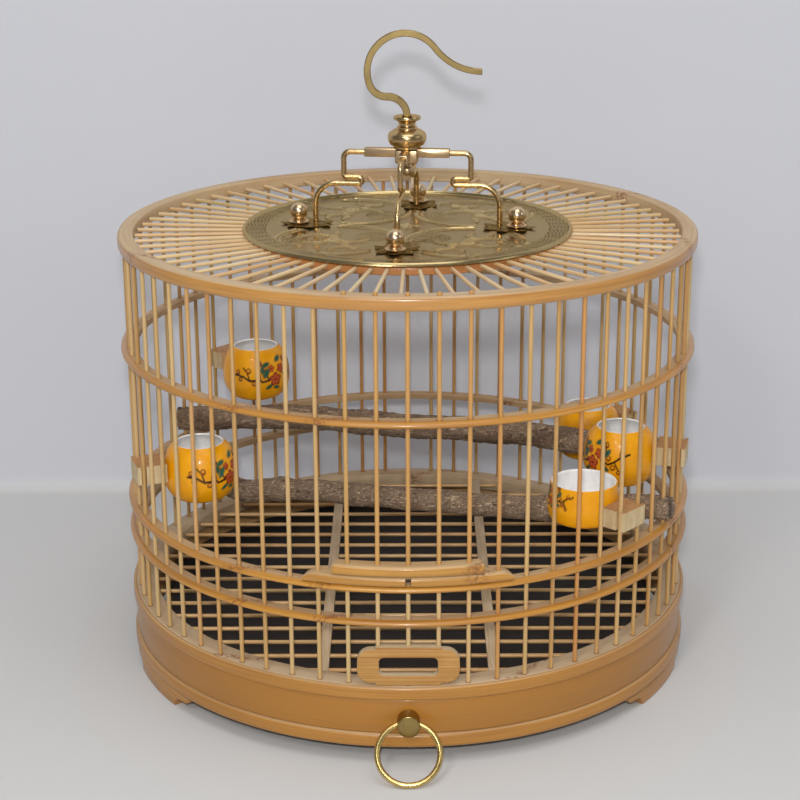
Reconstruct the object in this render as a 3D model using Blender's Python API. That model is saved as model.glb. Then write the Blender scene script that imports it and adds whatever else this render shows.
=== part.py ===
"""Round bamboo bird cage with a lifting door, a drawer, branch perches and five cups.

The cage stands on its feet with its axis on Z and its door and drawer towards -Y.
Azimuths run from the front towards +X. All lengths are in metres.
"""

import math

import bmesh
import bpy
from mathutils import Matrix, Vector

# Fits shared by all pieces
SEAT_GAP = 0.0003
CUT_OVERRUN = 0.002
MERGE_LENGTH = 0.000001

# Bars of the wall
BAR_COUNT = 64
BAR_PITCH = 360.0 / BAR_COUNT
BAR_CIRCLE_RADIUS = 0.180
BAR_RADIUS = 0.0014
BAR_SIDES = 6
BAR_HOLE_HALF = BAR_RADIUS + SEAT_GAP

# Feet
FOOT_AZIMUTHS = {"foot_right": 62.0, "foot_rear": 180.0, "foot_left": 298.0}
FOOT_HEIGHT = 0.0101
FOOT_INSET = 0.0005
FOOT_WIDTH = 0.0085
FOOT_HALF_SPAN = 14.0
# Pairs of half-span share and underside height share, from one end to the middle
FOOT_STEP_SHARES = ((1.0, 0.88), (0.97, 0.68), (0.72, 0.66), (0.64, 0.42), (0.61, 0.0), (0.3, 0.0))

# Base: lower hoop, band of the drawer level, ledge and its bead
BASE_SEGMENTS = 48
BASE_PITCH = 360.0 / BASE_SEGMENTS
BASE_OVERHANG = 0.005
BASE_OUTER_RADIUS = BAR_CIRCLE_RADIUS + BASE_OVERHANG
FOOT_OUTER_RADIUS = BASE_OUTER_RADIUS - FOOT_INSET
FOOT_INNER_RADIUS = FOOT_OUTER_RADIUS - FOOT_WIDTH
LOWER_HOOP_WIDTH = 0.010
LOWER_HOOP_HEIGHT = 0.009
LOWER_HOOP_ROUND = 0.0018
LOWER_HOOP_BASE = FOOT_HEIGHT + SEAT_GAP
LOWER_HOOP_TOP = LOWER_HOOP_BASE + LOWER_HOOP_HEIGHT
BAND_INSET = 0.0017
BAND_THICKNESS = 0.004
BAND_HEIGHT = 0.0216
BAND_OUTER_RADIUS = BASE_OUTER_RADIUS - BAND_INSET
BAND_INNER_RADIUS = BAND_OUTER_RADIUS - BAND_THICKNESS
BAND_BASE = LOWER_HOOP_TOP + SEAT_GAP
BAND_TOP = BAND_BASE + BAND_HEIGHT
DRAWER_HALF_ANGLE = 70.0
BEAD_THICKNESS = 0.002
BEAD_HEIGHT = 0.0081
BEAD_ROUND = 0.0007
LEDGE_WIDTH = 0.0137
LEDGE_HEIGHT = 0.0084
LEDGE_OUTER_RADIUS = BASE_OUTER_RADIUS - BEAD_THICKNESS - SEAT_GAP
LEDGE_INNER_RADIUS = LEDGE_OUTER_RADIUS - LEDGE_WIDTH
LEDGE_BASE = BAND_TOP + SEAT_GAP
LEDGE_TOP = LEDGE_BASE + LEDGE_HEIGHT

# Floor grate
GRATE_ROD_RADIUS = 0.0013
GRATE_ROD_SPACING = 0.0193
GRATE_ROD_DEPTH = 0.0035
GRATE_SLAT_OFFSET = 0.051
GRATE_SLAT_WIDTH = 0.0065
GRATE_SLAT_THICKNESS = 0.0033
GRATE_ROD_HEIGHT = LEDGE_TOP - GRATE_ROD_DEPTH
GRATE_REACH = LEDGE_INNER_RADIUS * math.cos(math.pi / BASE_SEGMENTS) - SEAT_GAP

# Drawer, knob and pull ring
TRAY_THICKNESS = 0.003
TRAY_RIM_HEIGHT = 0.002
TRAY_RIM_WIDTH = 0.003
TRAY_SIDE_INSET = 0.014
TRAY_RADIUS = BAND_INNER_RADIUS - SEAT_GAP
TRAY_HALF_WIDTH = TRAY_RADIUS - TRAY_SIDE_INSET
KNOB_HEIGHT = 0.029
KNOB_RADIUS = 0.00665
KNOB_LENGTH = 0.0097
KNOB_EDGE = 0.0007
KNOB_SHANK_RADIUS = 0.002
KNOB_NUT_HALF_WIDTH = 0.0032
KNOB_NUT_THICKNESS = 0.0024
KNOB_SEGMENTS = 20
RING_MAJOR_RADIUS = 0.01845
RING_WIRE_RADIUS = 0.00175
RING_HOLE_CLEARANCE = 0.00105
RING_HOLE_RADIUS = RING_WIRE_RADIUS + RING_HOLE_CLEARANCE
RING_HOLE_SETBACK = 0.0051
RING_SEGMENTS = 24
RING_SIDES = 6

# Hoops of the wall
HOOP_SEGMENTS = 32
HOOP_WIDTH = 0.010
HOOP_HEIGHT = 0.004
HOOP_ROUND = 0.0011
HOOP_INNER_RADIUS = BAR_CIRCLE_RADIUS - HOOP_WIDTH / 2
HOOP_OUTER_RADIUS = BAR_CIRCLE_RADIUS + HOOP_WIDTH / 2
HOOP_BASES = {"hoop_low": 0.0881, "hoop_sill": 0.1094, "hoop_middle": 0.2094}
TOP_HOOP_SEGMENTS = 64
TOP_HOOP_BASE = 0.277
TOP_HOOP_HEIGHT = 0.0087
TOP_HOOP_WIDTH = 0.010
TOP_HOOP_INSET = 0.001
TOP_HOOP_ROUND = 0.002
TOP_HOOP_OUTER_RADIUS = HOOP_OUTER_RADIUS - TOP_HOOP_INSET
TOP_HOOP_INNER_RADIUS = TOP_HOOP_OUTER_RADIUS - TOP_HOOP_WIDTH
TOP_HOOP_TOP = TOP_HOOP_BASE + TOP_HOOP_HEIGHT

# Door: sill halves, rail and lifting bars
DOOR_HALF_BARS = 2
SILL_HEIGHT = 0.0058
SILL_HALF_ANGLE = 19.5
SILL_BASE = HOOP_BASES["hoop_sill"] + HOOP_HEIGHT + SEAT_GAP
SILL_TOP = SILL_BASE + SILL_HEIGHT
SILL_BAR_DROP = 0.0012
RAIL_HEIGHT = 0.0063
RAIL_HALF_ANGLE = 13.8
RAIL_BASE = SILL_TOP + SEAT_GAP
RAIL_TOP = RAIL_BASE + RAIL_HEIGHT
RAIL_SOCKET_DEPTH = 0.0035
DOOR_BAR_PROUD = 0.0018

# Port plate under the door
PORT_PROUD = 0.002
PORT_FRONT_RADIUS = BAR_CIRCLE_RADIUS + PORT_PROUD
PORT_THICKNESS = 0.0055
PORT_HALF_WIDTH = 0.030
PORT_HEIGHT = 0.0245
PORT_MIDDLE_HALF_WIDTH = 0.01935
PORT_STEP = 0.0015
PORT_WING_ROUND = 0.008
PORT_OPENING_HALF_WIDTH = 0.0173
PORT_OPENING_HEIGHT = 0.0115
PORT_OPENING_LIFT = 0.0062
PORT_OPENING_ROUND = 0.003
PORT_BASE = LEDGE_TOP + SEAT_GAP
PORT_TOP = PORT_BASE + PORT_HEIGHT

# Roof: spokes, wooden ring and brass plate
SPOKE_COUNT = 68
SPOKE_PHASE = -1.3
SPOKE_RADIUS = 0.0013
SPOKE_SIDES = 5
SPOKE_LIFT = 0.0036
SPOKE_SEAT_DEPTH = 0.003
ROOF_RING_INNER_RADIUS = 0.058
ROOF_RING_OUTER_RADIUS = 0.103
ROOF_RING_THICKNESS = 0.0052
ROOF_RING_ROUND = 0.0012
ROOF_RING_TOP = TOP_HOOP_BASE + ROOF_RING_THICKNESS
PLATE_RADIUS = 0.1055
PLATE_THICKNESS = 0.0008
PLATE_RIM_WIDTH = 0.0032
PLATE_RIM_HEIGHT = 0.0027
PLATE_RIM_ROLL = 0.0006
PLATE_BASE = ROOF_RING_TOP + SEAT_GAP
PLATE_TOP = PLATE_BASE + PLATE_THICKNESS
ROOF_SEGMENTS = 40

# Hanger: petals, ball bolts, bent arms, cross and turned hub
HANGER_TURN = -6.0
ARM_COUNT = 4
PETAL_INNER_RADIUS = 0.047
PETAL_LENGTH = 0.035
PETAL_WIDTH = 0.029
PETAL_THICKNESS = 0.001
PETAL_LOBES = 7
PETAL_LOBE_SHARE = 0.16
PETAL_BASE = PLATE_TOP + SEAT_GAP
PETAL_TOP = PETAL_BASE + PETAL_THICKNESS
BOLT_CIRCLE_RADIUS = 0.070
BOLT_SHANK_RADIUS = 0.0018
BOLT_HOLE_RADIUS = BOLT_SHANK_RADIUS + SEAT_GAP
BOLT_BALL_RADIUS = 0.0059
BOLT_FLANGE_RADIUS = 0.0065
BOLT_SEGMENTS = 10
BOLT_HEAD_HEIGHT = 0.0127
# Radius share of the ball and height share of the head, from the seat to the crown
BOLT_HEAD_SHARES = ((0.82, 0.20), (0.93, 0.36), (1.0, 0.54), (0.82, 0.80))
UNDER_NUT_HALF_WIDTH = 0.0034
UNDER_NUT_THICKNESS = 0.003
ARM_RADIUS = 0.0018
ARM_SIDES = 6
ARM_REACH = 0.059
ARM_SHOULDER_REACH = 0.0405
ARM_HAIRPIN_REACH = 0.031
ARM_HAIRPIN_PITCH = 0.0041
ARM_HAIRPIN_DROP = 0.0162
ARM_SHOULDER_BEND = 0.004
ARM_FOOT_BEND = 0.013
CROSS_ARM_LIFT = 0.0477
CROSS_ARM_HEIGHT = PLATE_TOP + CROSS_ARM_LIFT
CROSS_REACH = 0.027
CROSS_SLEEVE_HALF = 0.00275
CROSS_CORE_HALF = 0.007
CROSS_CORE_FOOT_HALF = 0.0045
CROSS_CORE_DEPTH = 0.0061
CROSS_BORE_DEPTH = 0.008
CROSS_TOP = CROSS_ARM_HEIGHT + CROSS_SLEEVE_HALF
CROSS_FOOT = CROSS_ARM_HEIGHT - CROSS_CORE_DEPTH
FINIAL_RADIUS = 0.0035
FINIAL_NECK_RADIUS = 0.0022
FINIAL_NECK_LENGTH = 0.0025
HUB_BASE = CROSS_TOP + SEAT_GAP
HUB_HEIGHT = 0.020
HUB_RADIUS = 0.01225
HUB_SEGMENTS = 16
HUB_BORE_RADIUS = 0.0035
HUB_CAVITY_RADIUS = 0.0062
HUB_CAVITY_HEIGHT = 0.006
# Radius share of the bulb and height share of the hub, from the collar to the lip
HUB_SHARES = (
    (0.71, 0.0), (0.71, 0.08), (0.93, 0.2), (1.0, 0.35), (0.92, 0.5), (0.66, 0.59),
    (0.51, 0.61), (0.51, 0.67), (0.435, 0.71), (0.435, 0.82), (0.69, 0.9), (0.68, 1.0),
)
HUB_DISH_SHARE = 0.07

# Hook: square bar bent in one plane
HOOK_HALF_WIDTH = 0.0022
HOOK_HEAD_HALF_WIDTH = 0.0036
HOOK_HEAD_THICKNESS = 0.002
# Radius and signed turn of each bend, a positive turn leading towards -X
HOOK_BENDS = ((0.01215, 91.0), (0.0115, -71.0), (0.0236, -162.5), (0.0375, 52.0))
HOOK_STEP_ANGLE = 13.0

# Cups and their wall blocks
CUP_RADIUS = 0.0236
CUP_HEIGHT = 0.040
CUP_SEGMENTS = 14
LOW_CUP_RADIUS = 0.022
LOW_CUP_HEIGHT = 0.025
# Radius share and height share, outside from foot to rim and inside from rim to floor
CUP_OUTER_SHARES = ((0.54, 0.0), (0.78, 0.08), (0.96, 0.27), (1.0, 0.45), (0.93, 0.7), (0.66, 1.0))
CUP_INNER_SHARES = ((0.57, 1.0), (0.83, 0.7), (0.9, 0.45), (0.84, 0.25), (0.5, 0.1))
LOW_CUP_OUTER_SHARES = ((0.82, 0.0), (0.97, 0.15), (1.0, 0.5), (0.93, 1.0))
LOW_CUP_INNER_SHARES = ((0.84, 1.0), (0.89, 0.5), (0.8, 0.14))
BLOCK_WIDTH = 0.0225
BLOCK_HEIGHT = 0.012
BLOCK_PROUD = 0.004
BLOCK_OUTER_RADIUS = BAR_CIRCLE_RADIUS + BLOCK_PROUD
BLOCK_CHAMFER = 0.002
BLOCK_RIM_DROP = 0.009
# Name: bar space that holds the block, rim height, setback of the axis from the bar circle
CUP_PLACES = {
    "cup_back_left": (-23.5, 0.1757, 0.0343),
    "cup_left": (-12.5, 0.1548, 0.0386),
    "cup_back_right": (21.5, 0.1375, 0.0321),
    "cup_right": (13.5, 0.1600, 0.0387),
    "cup_front_low": (8.5, 0.1467, 0.0346),
}

# Perches
PERCH_SIDES = 8
PERCH_OVERHANG = 0.0055
PERCH_SWELL_SHARE = 0.07
# Between the two end bars: x and y shares of the bar circle, rise in thicknesses
PERCH_REAR_RADIUS = 0.0088
PERCH_REAR_HEIGHT = 0.125
PERCH_REAR_BARS = (-21, 17)
PERCH_REAR_END_RISE_SHARE = -0.1
PERCH_REAR_SHARES = (
    (-0.67, 0.475, 0.02), (-0.42, 0.468, 0.03), (-0.03, 0.372, 0.03), (0.28, 0.324, 0.0),
    (0.50, 0.268, -0.03), (0.665, 0.2, -0.06), (0.83, 0.14, -0.1),
)
PERCH_FRONT_RADIUS = 0.008
PERCH_FRONT_HEIGHT = HOOP_BASES["hoop_low"] + HOOP_HEIGHT + SEAT_GAP + PERCH_FRONT_RADIUS
PERCH_FRONT_BARS = (-21, 11)
PERCH_FRONT_END_RISE_SHARE = 1.45
PERCH_FRONT_SHARES = (
    (-0.77, 0.335, 0.0), (-0.637, 0.131, -0.4), (-0.486, 0.109, -0.27), (0.006, -0.085, 0.1),
    (0.475, -0.26, 0.48), (0.558, -0.315, 0.72), (0.677, -0.363, 0.97), (0.8, -0.42, 1.27),
)


def clear_scene():
    """Remove every object that the scene starts with."""
    for item in list(bpy.data.objects):
        bpy.data.objects.remove(item, do_unlink=True)


def make_material(name, color, roughness, metallic=0.0):
    """Return a Principled material of one plain colour."""
    material = bpy.data.materials.new(name)
    material.use_nodes = True
    shader = material.node_tree.nodes["Principled BSDF"]
    shader.inputs["Base Color"].default_value = (*color, 1.0)
    shader.inputs["Roughness"].default_value = roughness
    shader.inputs["Metallic"].default_value = metallic
    material.diffuse_color = (*color, 1.0)
    return material


def polar(radius, azimuth, height):
    """Return the point at a radius and an azimuth in degrees."""
    angle = math.radians(azimuth)
    return Vector((radius * math.sin(angle), -radius * math.cos(angle), height))


def bar_point(index, height):
    """Return the centre of a wall bar at a height."""
    return polar(BAR_CIRCLE_RADIUS, index * BAR_PITCH, height)


def finish(name, bm, material, smooth=True):
    """Turn a bmesh into a named object with outward faces."""
    bmesh.ops.remove_doubles(bm, verts=bm.verts, dist=MERGE_LENGTH)
    bmesh.ops.recalc_face_normals(bm, faces=bm.faces)
    mesh = bpy.data.meshes.new(name)
    bm.to_mesh(mesh)
    bm.free()
    if smooth:
        mesh.shade_smooth()
        mesh.set_sharp_from_angle(angle=math.radians(40.0))
    item = bpy.data.objects.new(name, mesh)
    bpy.context.collection.objects.link(item)
    if material is not None:
        mesh.materials.append(material)
    return item


def loft(bm, loops, closed=False):
    """Skin point loops in order, capping both ends unless the row is closed."""
    rows = [[bm.verts.new(point) for point in loop] for loop in loops]
    pairs = list(zip(rows, rows[1:]))
    if closed:
        pairs.append((rows[-1], rows[0]))
    else:
        bm.faces.new(rows[0])
        bm.faces.new(rows[-1])
    for first, second in pairs:
        for here in range(len(first)):
            after = (here + 1) % len(first)
            bm.faces.new((first[here], first[after], second[after], second[here]))


def add_turned(bm, profile, segments, first_azimuth=0.0):
    """Spin an outline of radius and height pairs round the Z axis."""
    closed = all(radius > 0.0 for radius, _ in profile)
    verts = [bm.verts.new(polar(radius, first_azimuth, height)) for radius, height in profile]
    edges = [bm.edges.new(pair) for pair in zip(verts, verts[1:])]
    if closed:
        edges.append(bm.edges.new((verts[-1], verts[0])))
    bmesh.ops.spin(
        bm, geom=verts + edges, cent=(0.0, 0.0, 0.0), axis=(0.0, 0.0, 1.0),
        angle=math.tau, steps=segments, use_merge=True, use_duplicate=False,
    )
    bmesh.ops.remove_doubles(bm, verts=bm.verts, dist=MERGE_LENGTH)


def turned(name, profile, segments, material, first_azimuth=0.0):
    """Return an object turned from one outline."""
    bm = bmesh.new()
    add_turned(bm, profile, segments, first_azimuth)
    return finish(name, bm, material)


def arc_azimuths(start, end, pitch):
    """Return the ends of an arc and the whole steps of the pitch between them."""
    margin = pitch / 8
    first = math.ceil((start + margin) / pitch)
    last = math.floor((end - margin) / pitch)
    return [start] + [step * pitch for step in range(first, last + 1)] + [end]


def arc_piece(name, profile, azimuths, material):
    """Return a closed piece with one outline carried along an arc."""
    bm = bmesh.new()
    loft(bm, [[polar(radius, azimuth, height) for radius, height in profile] for azimuth in azimuths])
    return finish(name, bm, material)


def add_prism(bm, outline, depth):
    """Extrude a flat outline of points along a vector."""
    face = bm.faces.new([bm.verts.new(point) for point in outline])
    lifted = bmesh.ops.extrude_face_region(bm, geom=[face], use_keep_orig=True)
    moved = [item for item in lifted["geom"] if isinstance(item, bmesh.types.BMVert)]
    bmesh.ops.translate(bm, verts=moved, vec=depth)


def add_rod(bm, start, end, radius, sides):
    """Add a closed straight rod between two points."""
    along = end - start
    turn = along.to_track_quat("Z", "Y").to_matrix().to_4x4()
    bmesh.ops.create_cone(
        bm, cap_ends=True, segments=sides, radius1=radius, radius2=radius,
        depth=along.length, matrix=Matrix.Translation((start + end) / 2) @ turn,
    )


def add_post(bm, centre, half_width, azimuth, base, top):
    """Add a square post whose faces look along and across an azimuth."""
    turn = Matrix.Rotation(math.radians(azimuth), 4, "Z")
    outline = []
    for across, along in ((-1, -1), (1, -1), (1, 1), (-1, 1)):
        corner = turn @ Vector((across * half_width, along * half_width, 0.0))
        outline.append((centre.x + corner.x, centre.y + corner.y, base))
    add_prism(bm, outline, (0.0, 0.0, top - base))


def add_tube(bm, points, radii, sides, up):
    """Skin a round bar of changing radius along a route."""
    loops = []
    for place, point in enumerate(points):
        before = points[max(place - 1, 0)]
        after = points[min(place + 1, len(points) - 1)]
        along = (after - before).normalized()
        side = along.cross(up).normalized()
        rise = side.cross(along).normalized()
        loop = []
        for step in range(sides):
            angle = math.tau * (step + 0.5) / sides
            loop.append(point + radii[place] * (math.cos(angle) * side + math.sin(angle) * rise))
        loops.append(loop)
    loft(bm, loops)


def make_cutter(name, bm):
    """Return a cutting body that is only a guide."""
    cutter = finish(name, bm, None, smooth=False)
    cutter.display_type = "WIRE"
    cutter.hide_render = True
    return cutter


def cut(target, cutter, operation="DIFFERENCE"):
    """Cut or join a target with a guide body."""
    modifier = target.modifiers.new(cutter.name, "BOOLEAN")
    modifier.operation = operation
    modifier.solver = "EXACT"
    modifier.object = cutter


def make_pivot(name, location):
    """Return the empty that carries one moving body."""
    pivot = bpy.data.objects.new(name, None)
    pivot.location = location
    bpy.context.collection.objects.link(pivot)
    return pivot


def hang_on(pivot, item):
    """Parent a piece to a pivot and keep the piece where it stands."""
    offset = pivot.location + (pivot.parent.location if pivot.parent else Vector())
    item.data.transform(Matrix.Translation(-offset))
    item.parent = pivot


def rounded_outline(inner, outer, base, top, bulge):
    """Return a ring outline with a flat inside and a rounded outside."""
    middle = (base + top) / 2
    return (
        (inner, base), (outer - bulge, base), (outer, middle), (outer - bulge, top), (inner, top),
    )


def full_outline(inner, outer, base, top, corner):
    """Return a ring outline with both outer corners eased."""
    return (
        (inner, base), (outer - corner, base), (outer, base + corner),
        (outer, top - corner), (outer - corner, top), (inner, top),
    )


def build_feet(wood):
    """Build three stepped feet under the lower hoop."""
    shares = [(-span, height) for span, height in FOOT_STEP_SHARES]
    shares += [(span, height) for span, height in reversed(FOOT_STEP_SHARES)]
    for name, azimuth in FOOT_AZIMUTHS.items():
        bm = bmesh.new()
        loops = []
        for span, height in shares:
            place = azimuth + span * FOOT_HALF_SPAN
            base = height * FOOT_HEIGHT
            loops.append([
                polar(FOOT_INNER_RADIUS, place, base), polar(FOOT_OUTER_RADIUS, place, base),
                polar(FOOT_OUTER_RADIUS, place, FOOT_HEIGHT),
                polar(FOOT_INNER_RADIUS, place, FOOT_HEIGHT),
            ])
        loft(bm, loops)
        finish(name, bm, wood)


def build_base(wood, dark_wood):
    """Build the hoop, rear band, ledge ring and bead of the base."""
    lower_inner = BASE_OUTER_RADIUS - LOWER_HOOP_WIDTH
    outline = rounded_outline(
        lower_inner, BASE_OUTER_RADIUS, LOWER_HOOP_BASE, LOWER_HOOP_TOP, LOWER_HOOP_ROUND,
    )
    turned("lower_hoop", outline, BASE_SEGMENTS, dark_wood)
    band = (
        (BAND_INNER_RADIUS, BAND_BASE), (BAND_OUTER_RADIUS, BAND_BASE),
        (BAND_OUTER_RADIUS, BAND_TOP), (BAND_INNER_RADIUS, BAND_TOP),
    )
    joint = math.degrees(SEAT_GAP / BAND_OUTER_RADIUS)
    start = DRAWER_HALF_ANGLE + joint
    arc_piece("rear_band", band, arc_azimuths(start, 360.0 - start, BASE_PITCH), dark_wood)
    ledge = (
        (LEDGE_INNER_RADIUS, LEDGE_BASE), (LEDGE_OUTER_RADIUS, LEDGE_BASE),
        (LEDGE_OUTER_RADIUS, LEDGE_TOP), (LEDGE_INNER_RADIUS, LEDGE_TOP),
    )
    turned("ledge_ring", ledge, BASE_SEGMENTS, wood)
    bead_inner = BASE_OUTER_RADIUS - BEAD_THICKNESS
    bead_top = LEDGE_BASE + BEAD_HEIGHT
    outline = rounded_outline(bead_inner, BASE_OUTER_RADIUS, LEDGE_BASE, bead_top, BEAD_ROUND)
    turned("upper_bead", outline, BASE_SEGMENTS, dark_wood)


def build_grate(wood):
    """Build the floor grate: rods inside the ledge, let into two slats."""
    half = GRATE_SLAT_WIDTH / 2
    base = LEDGE_TOP - GRATE_SLAT_THICKNESS
    slat_reach = math.sqrt(GRATE_REACH ** 2 - (GRATE_SLAT_OFFSET + half) ** 2)
    slats = bmesh.new()
    for centre in (-GRATE_SLAT_OFFSET, GRATE_SLAT_OFFSET):
        outline = (
            (centre - half, -slat_reach, base), (centre + half, -slat_reach, base),
            (centre + half, slat_reach, base), (centre - half, slat_reach, base),
        )
        add_prism(slats, outline, (0.0, 0.0, GRATE_SLAT_THICKNESS))
    grate = finish("floor_grate", slats, wood)
    rods = bmesh.new()
    limit = int((slat_reach - 2 * GRATE_ROD_RADIUS) / GRATE_ROD_SPACING)
    for step in range(-limit, limit + 1):
        depth = step * GRATE_ROD_SPACING
        reach = math.sqrt(GRATE_REACH ** 2 - (abs(depth) + GRATE_ROD_RADIUS) ** 2)
        start = Vector((-reach, depth, GRATE_ROD_HEIGHT))
        end = Vector((reach, depth, GRATE_ROD_HEIGHT))
        add_rod(rods, start, end, GRATE_ROD_RADIUS, BAR_SIDES)
    cut(grate, make_cutter("grate_rod_set", rods), "UNION")


def bar_holes(name, indices, base, top):
    """Return a guide with one square hole for each numbered bar."""
    bm = bmesh.new()
    for index in indices:
        centre = bar_point(index, base)
        add_post(bm, centre, BAR_HOLE_HALF, index * BAR_PITCH, base - CUT_OVERRUN, top + CUT_OVERRUN)
    return make_cutter(name, bm)


def build_wall(wood, dark_wood):
    """Build the wall bars, the short bars under the door and the four hoops."""
    low = LEDGE_TOP + SEAT_GAP
    door = range(-DOOR_HALF_BARS, DOOR_HALF_BARS + 1)
    side = range(DOOR_HALF_BARS + 1, BAR_COUNT - DOOR_HALF_BARS)
    sill_top = HOOP_BASES["hoop_sill"] + HOOP_HEIGHT
    side_holes = bar_holes("side_bar_holes", side, HOOP_BASES["hoop_low"], sill_top)
    short_holes = bar_holes("short_bar_holes", door, HOOP_BASES["hoop_sill"], sill_top)
    door_holes = bar_holes("door_bar_holes", door, HOOP_BASES["hoop_middle"], TOP_HOOP_TOP)

    hoops = {}
    for name, base in HOOP_BASES.items():
        outline = rounded_outline(
            HOOP_INNER_RADIUS, HOOP_OUTER_RADIUS, base, base + HOOP_HEIGHT, HOOP_ROUND,
        )
        hoops[name] = turned(name, outline, HOOP_SEGMENTS, dark_wood, BAR_PITCH / 2)

    bars = bmesh.new()
    for index in side:
        start = bar_point(index, low)
        add_rod(bars, start, bar_point(index, TOP_HOOP_BASE - SEAT_GAP), BAR_RADIUS, BAR_SIDES)
    bar_wall = hoops["hoop_middle"]
    bar_wall.name = "bar_wall"
    cut(bar_wall, door_holes)
    cut(bar_wall, make_cutter("side_bar_set", bars), "UNION")

    bars = bmesh.new()
    for index in door:
        start = bar_point(index, low)
        if abs(start.x) - BAR_RADIUS < PORT_HALF_WIDTH:
            start.z = PORT_TOP + SEAT_GAP
        end = bar_point(index, SILL_TOP - SILL_BAR_DROP if index == 0 else SILL_BASE - SEAT_GAP)
        add_rod(bars, start, end, BAR_RADIUS, BAR_SIDES)
    cut(hoops["hoop_low"], side_holes)
    cut(hoops["hoop_low"], make_cutter("short_bar_set", bars), "UNION")
    cut(hoops["hoop_sill"], side_holes)
    cut(hoops["hoop_sill"], short_holes)

    outline = full_outline(
        TOP_HOOP_INNER_RADIUS, TOP_HOOP_OUTER_RADIUS, TOP_HOOP_BASE, TOP_HOOP_TOP, TOP_HOOP_ROUND,
    )
    top_hoop = turned("top_hoop", outline, TOP_HOOP_SEGMENTS, dark_wood, BAR_PITCH / 2)
    cut(top_hoop, door_holes)


def build_sill(wood):
    """Build the two sill halves that stop the door and pass the outer bars."""
    half_notch = math.degrees(BAR_HOLE_HALF / BAR_CIRCLE_RADIUS)
    outer_bars = (-DOOR_HALF_BARS - 1, DOOR_HALF_BARS + 1)
    holes = bar_holes("sill_holes", outer_bars, SILL_BASE, SILL_TOP)
    outline = full_outline(HOOP_INNER_RADIUS, HOOP_OUTER_RADIUS, SILL_BASE, SILL_TOP, HOOP_ROUND)
    for name, side in (("sill_left", -1.0), ("sill_right", 1.0)):
        azimuths = arc_azimuths(half_notch, SILL_HALF_ANGLE, BAR_PITCH * 3 / 4)
        sill = arc_piece(name, outline, [side * azimuth for azimuth in azimuths], wood)
        cut(sill, holes)


def build_door(wood, dark_wood):
    """Build the curved rail and the five bars that lift with it."""
    slide = make_pivot("door_slide", (0.0, -BAR_CIRCLE_RADIUS, RAIL_BASE))
    outline = full_outline(HOOP_INNER_RADIUS, HOOP_OUTER_RADIUS, RAIL_BASE, RAIL_TOP, HOOP_ROUND)
    steps = arc_azimuths(-RAIL_HALF_ANGLE, RAIL_HALF_ANGLE, BAR_PITCH * 3 / 4)
    rail = arc_piece("door_rail", outline, steps, dark_wood)
    hang_on(slide, rail)
    floor = RAIL_TOP - RAIL_SOCKET_DEPTH
    sockets = bmesh.new()
    for index in range(-DOOR_HALF_BARS, DOOR_HALF_BARS + 1):
        azimuth = index * BAR_PITCH
        add_post(sockets, bar_point(index, floor), BAR_HOLE_HALF, azimuth, floor, RAIL_TOP + CUT_OVERRUN)
        start = bar_point(index, floor + SEAT_GAP)
        end = bar_point(index, TOP_HOOP_TOP + DOOR_BAR_PROUD)
        bar = bmesh.new()
        add_rod(bar, start, end, BAR_RADIUS, BAR_SIDES)
        hang_on(slide, finish(f"door_bar_{index + DOOR_HALF_BARS + 1}", bar, wood))
    cut(rail, make_cutter("rail_sockets", sockets))


def add_corner(points, centre, radius, start, steps):
    """Add a quarter round corner to an outline in the XZ plane."""
    for step in range(steps + 1):
        angle = math.radians(start + 90.0 * step / steps)
        points.append((centre[0] + radius * math.cos(angle), centre[1] + radius * math.sin(angle)))


def build_port_plate(wood):
    """Build the upright board with the cleaning slot under the door."""
    middle = PORT_BASE + PORT_HEIGHT / 2
    wing = PORT_HEIGHT / 2 - PORT_STEP
    corner = PORT_WING_ROUND
    half = []
    half.append((PORT_MIDDLE_HALF_WIDTH, -PORT_HEIGHT / 2))
    half.append((PORT_MIDDLE_HALF_WIDTH, -wing))
    add_corner(half, (PORT_HALF_WIDTH - corner, -wing + corner), corner, -90.0, 3)
    add_corner(half, (PORT_HALF_WIDTH - corner, wing - corner), corner, 0.0, 3)
    half.append((PORT_MIDDLE_HALF_WIDTH, wing))
    half.append((PORT_MIDDLE_HALF_WIDTH, PORT_HEIGHT / 2))
    full = half + [(-x, z) for x, z in reversed(half)]
    bm = bmesh.new()
    outline = [(x, -PORT_FRONT_RADIUS, middle + z) for x, z in full]
    add_prism(bm, outline, (0.0, PORT_THICKNESS, 0.0))
    plate = finish("port_plate", bm, wood)
    width = PORT_OPENING_HALF_WIDTH - PORT_OPENING_ROUND
    low = PORT_BASE + PORT_OPENING_LIFT + PORT_OPENING_ROUND
    high = low + PORT_OPENING_HEIGHT - 2 * PORT_OPENING_ROUND
    slot = []
    add_corner(slot, (width, low), PORT_OPENING_ROUND, -90.0, 2)
    add_corner(slot, (width, high), PORT_OPENING_ROUND, 0.0, 2)
    add_corner(slot, (-width, high), PORT_OPENING_ROUND, 90.0, 2)
    add_corner(slot, (-width, low), PORT_OPENING_ROUND, 180.0, 2)
    bm = bmesh.new()
    outline = [(x, -PORT_FRONT_RADIUS - CUT_OVERRUN, z) for x, z in slot]
    add_prism(bm, outline, (0.0, PORT_THICKNESS + 2 * CUT_OVERRUN, 0.0))
    cut(plate, make_cutter("port_slot", bm))


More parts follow.
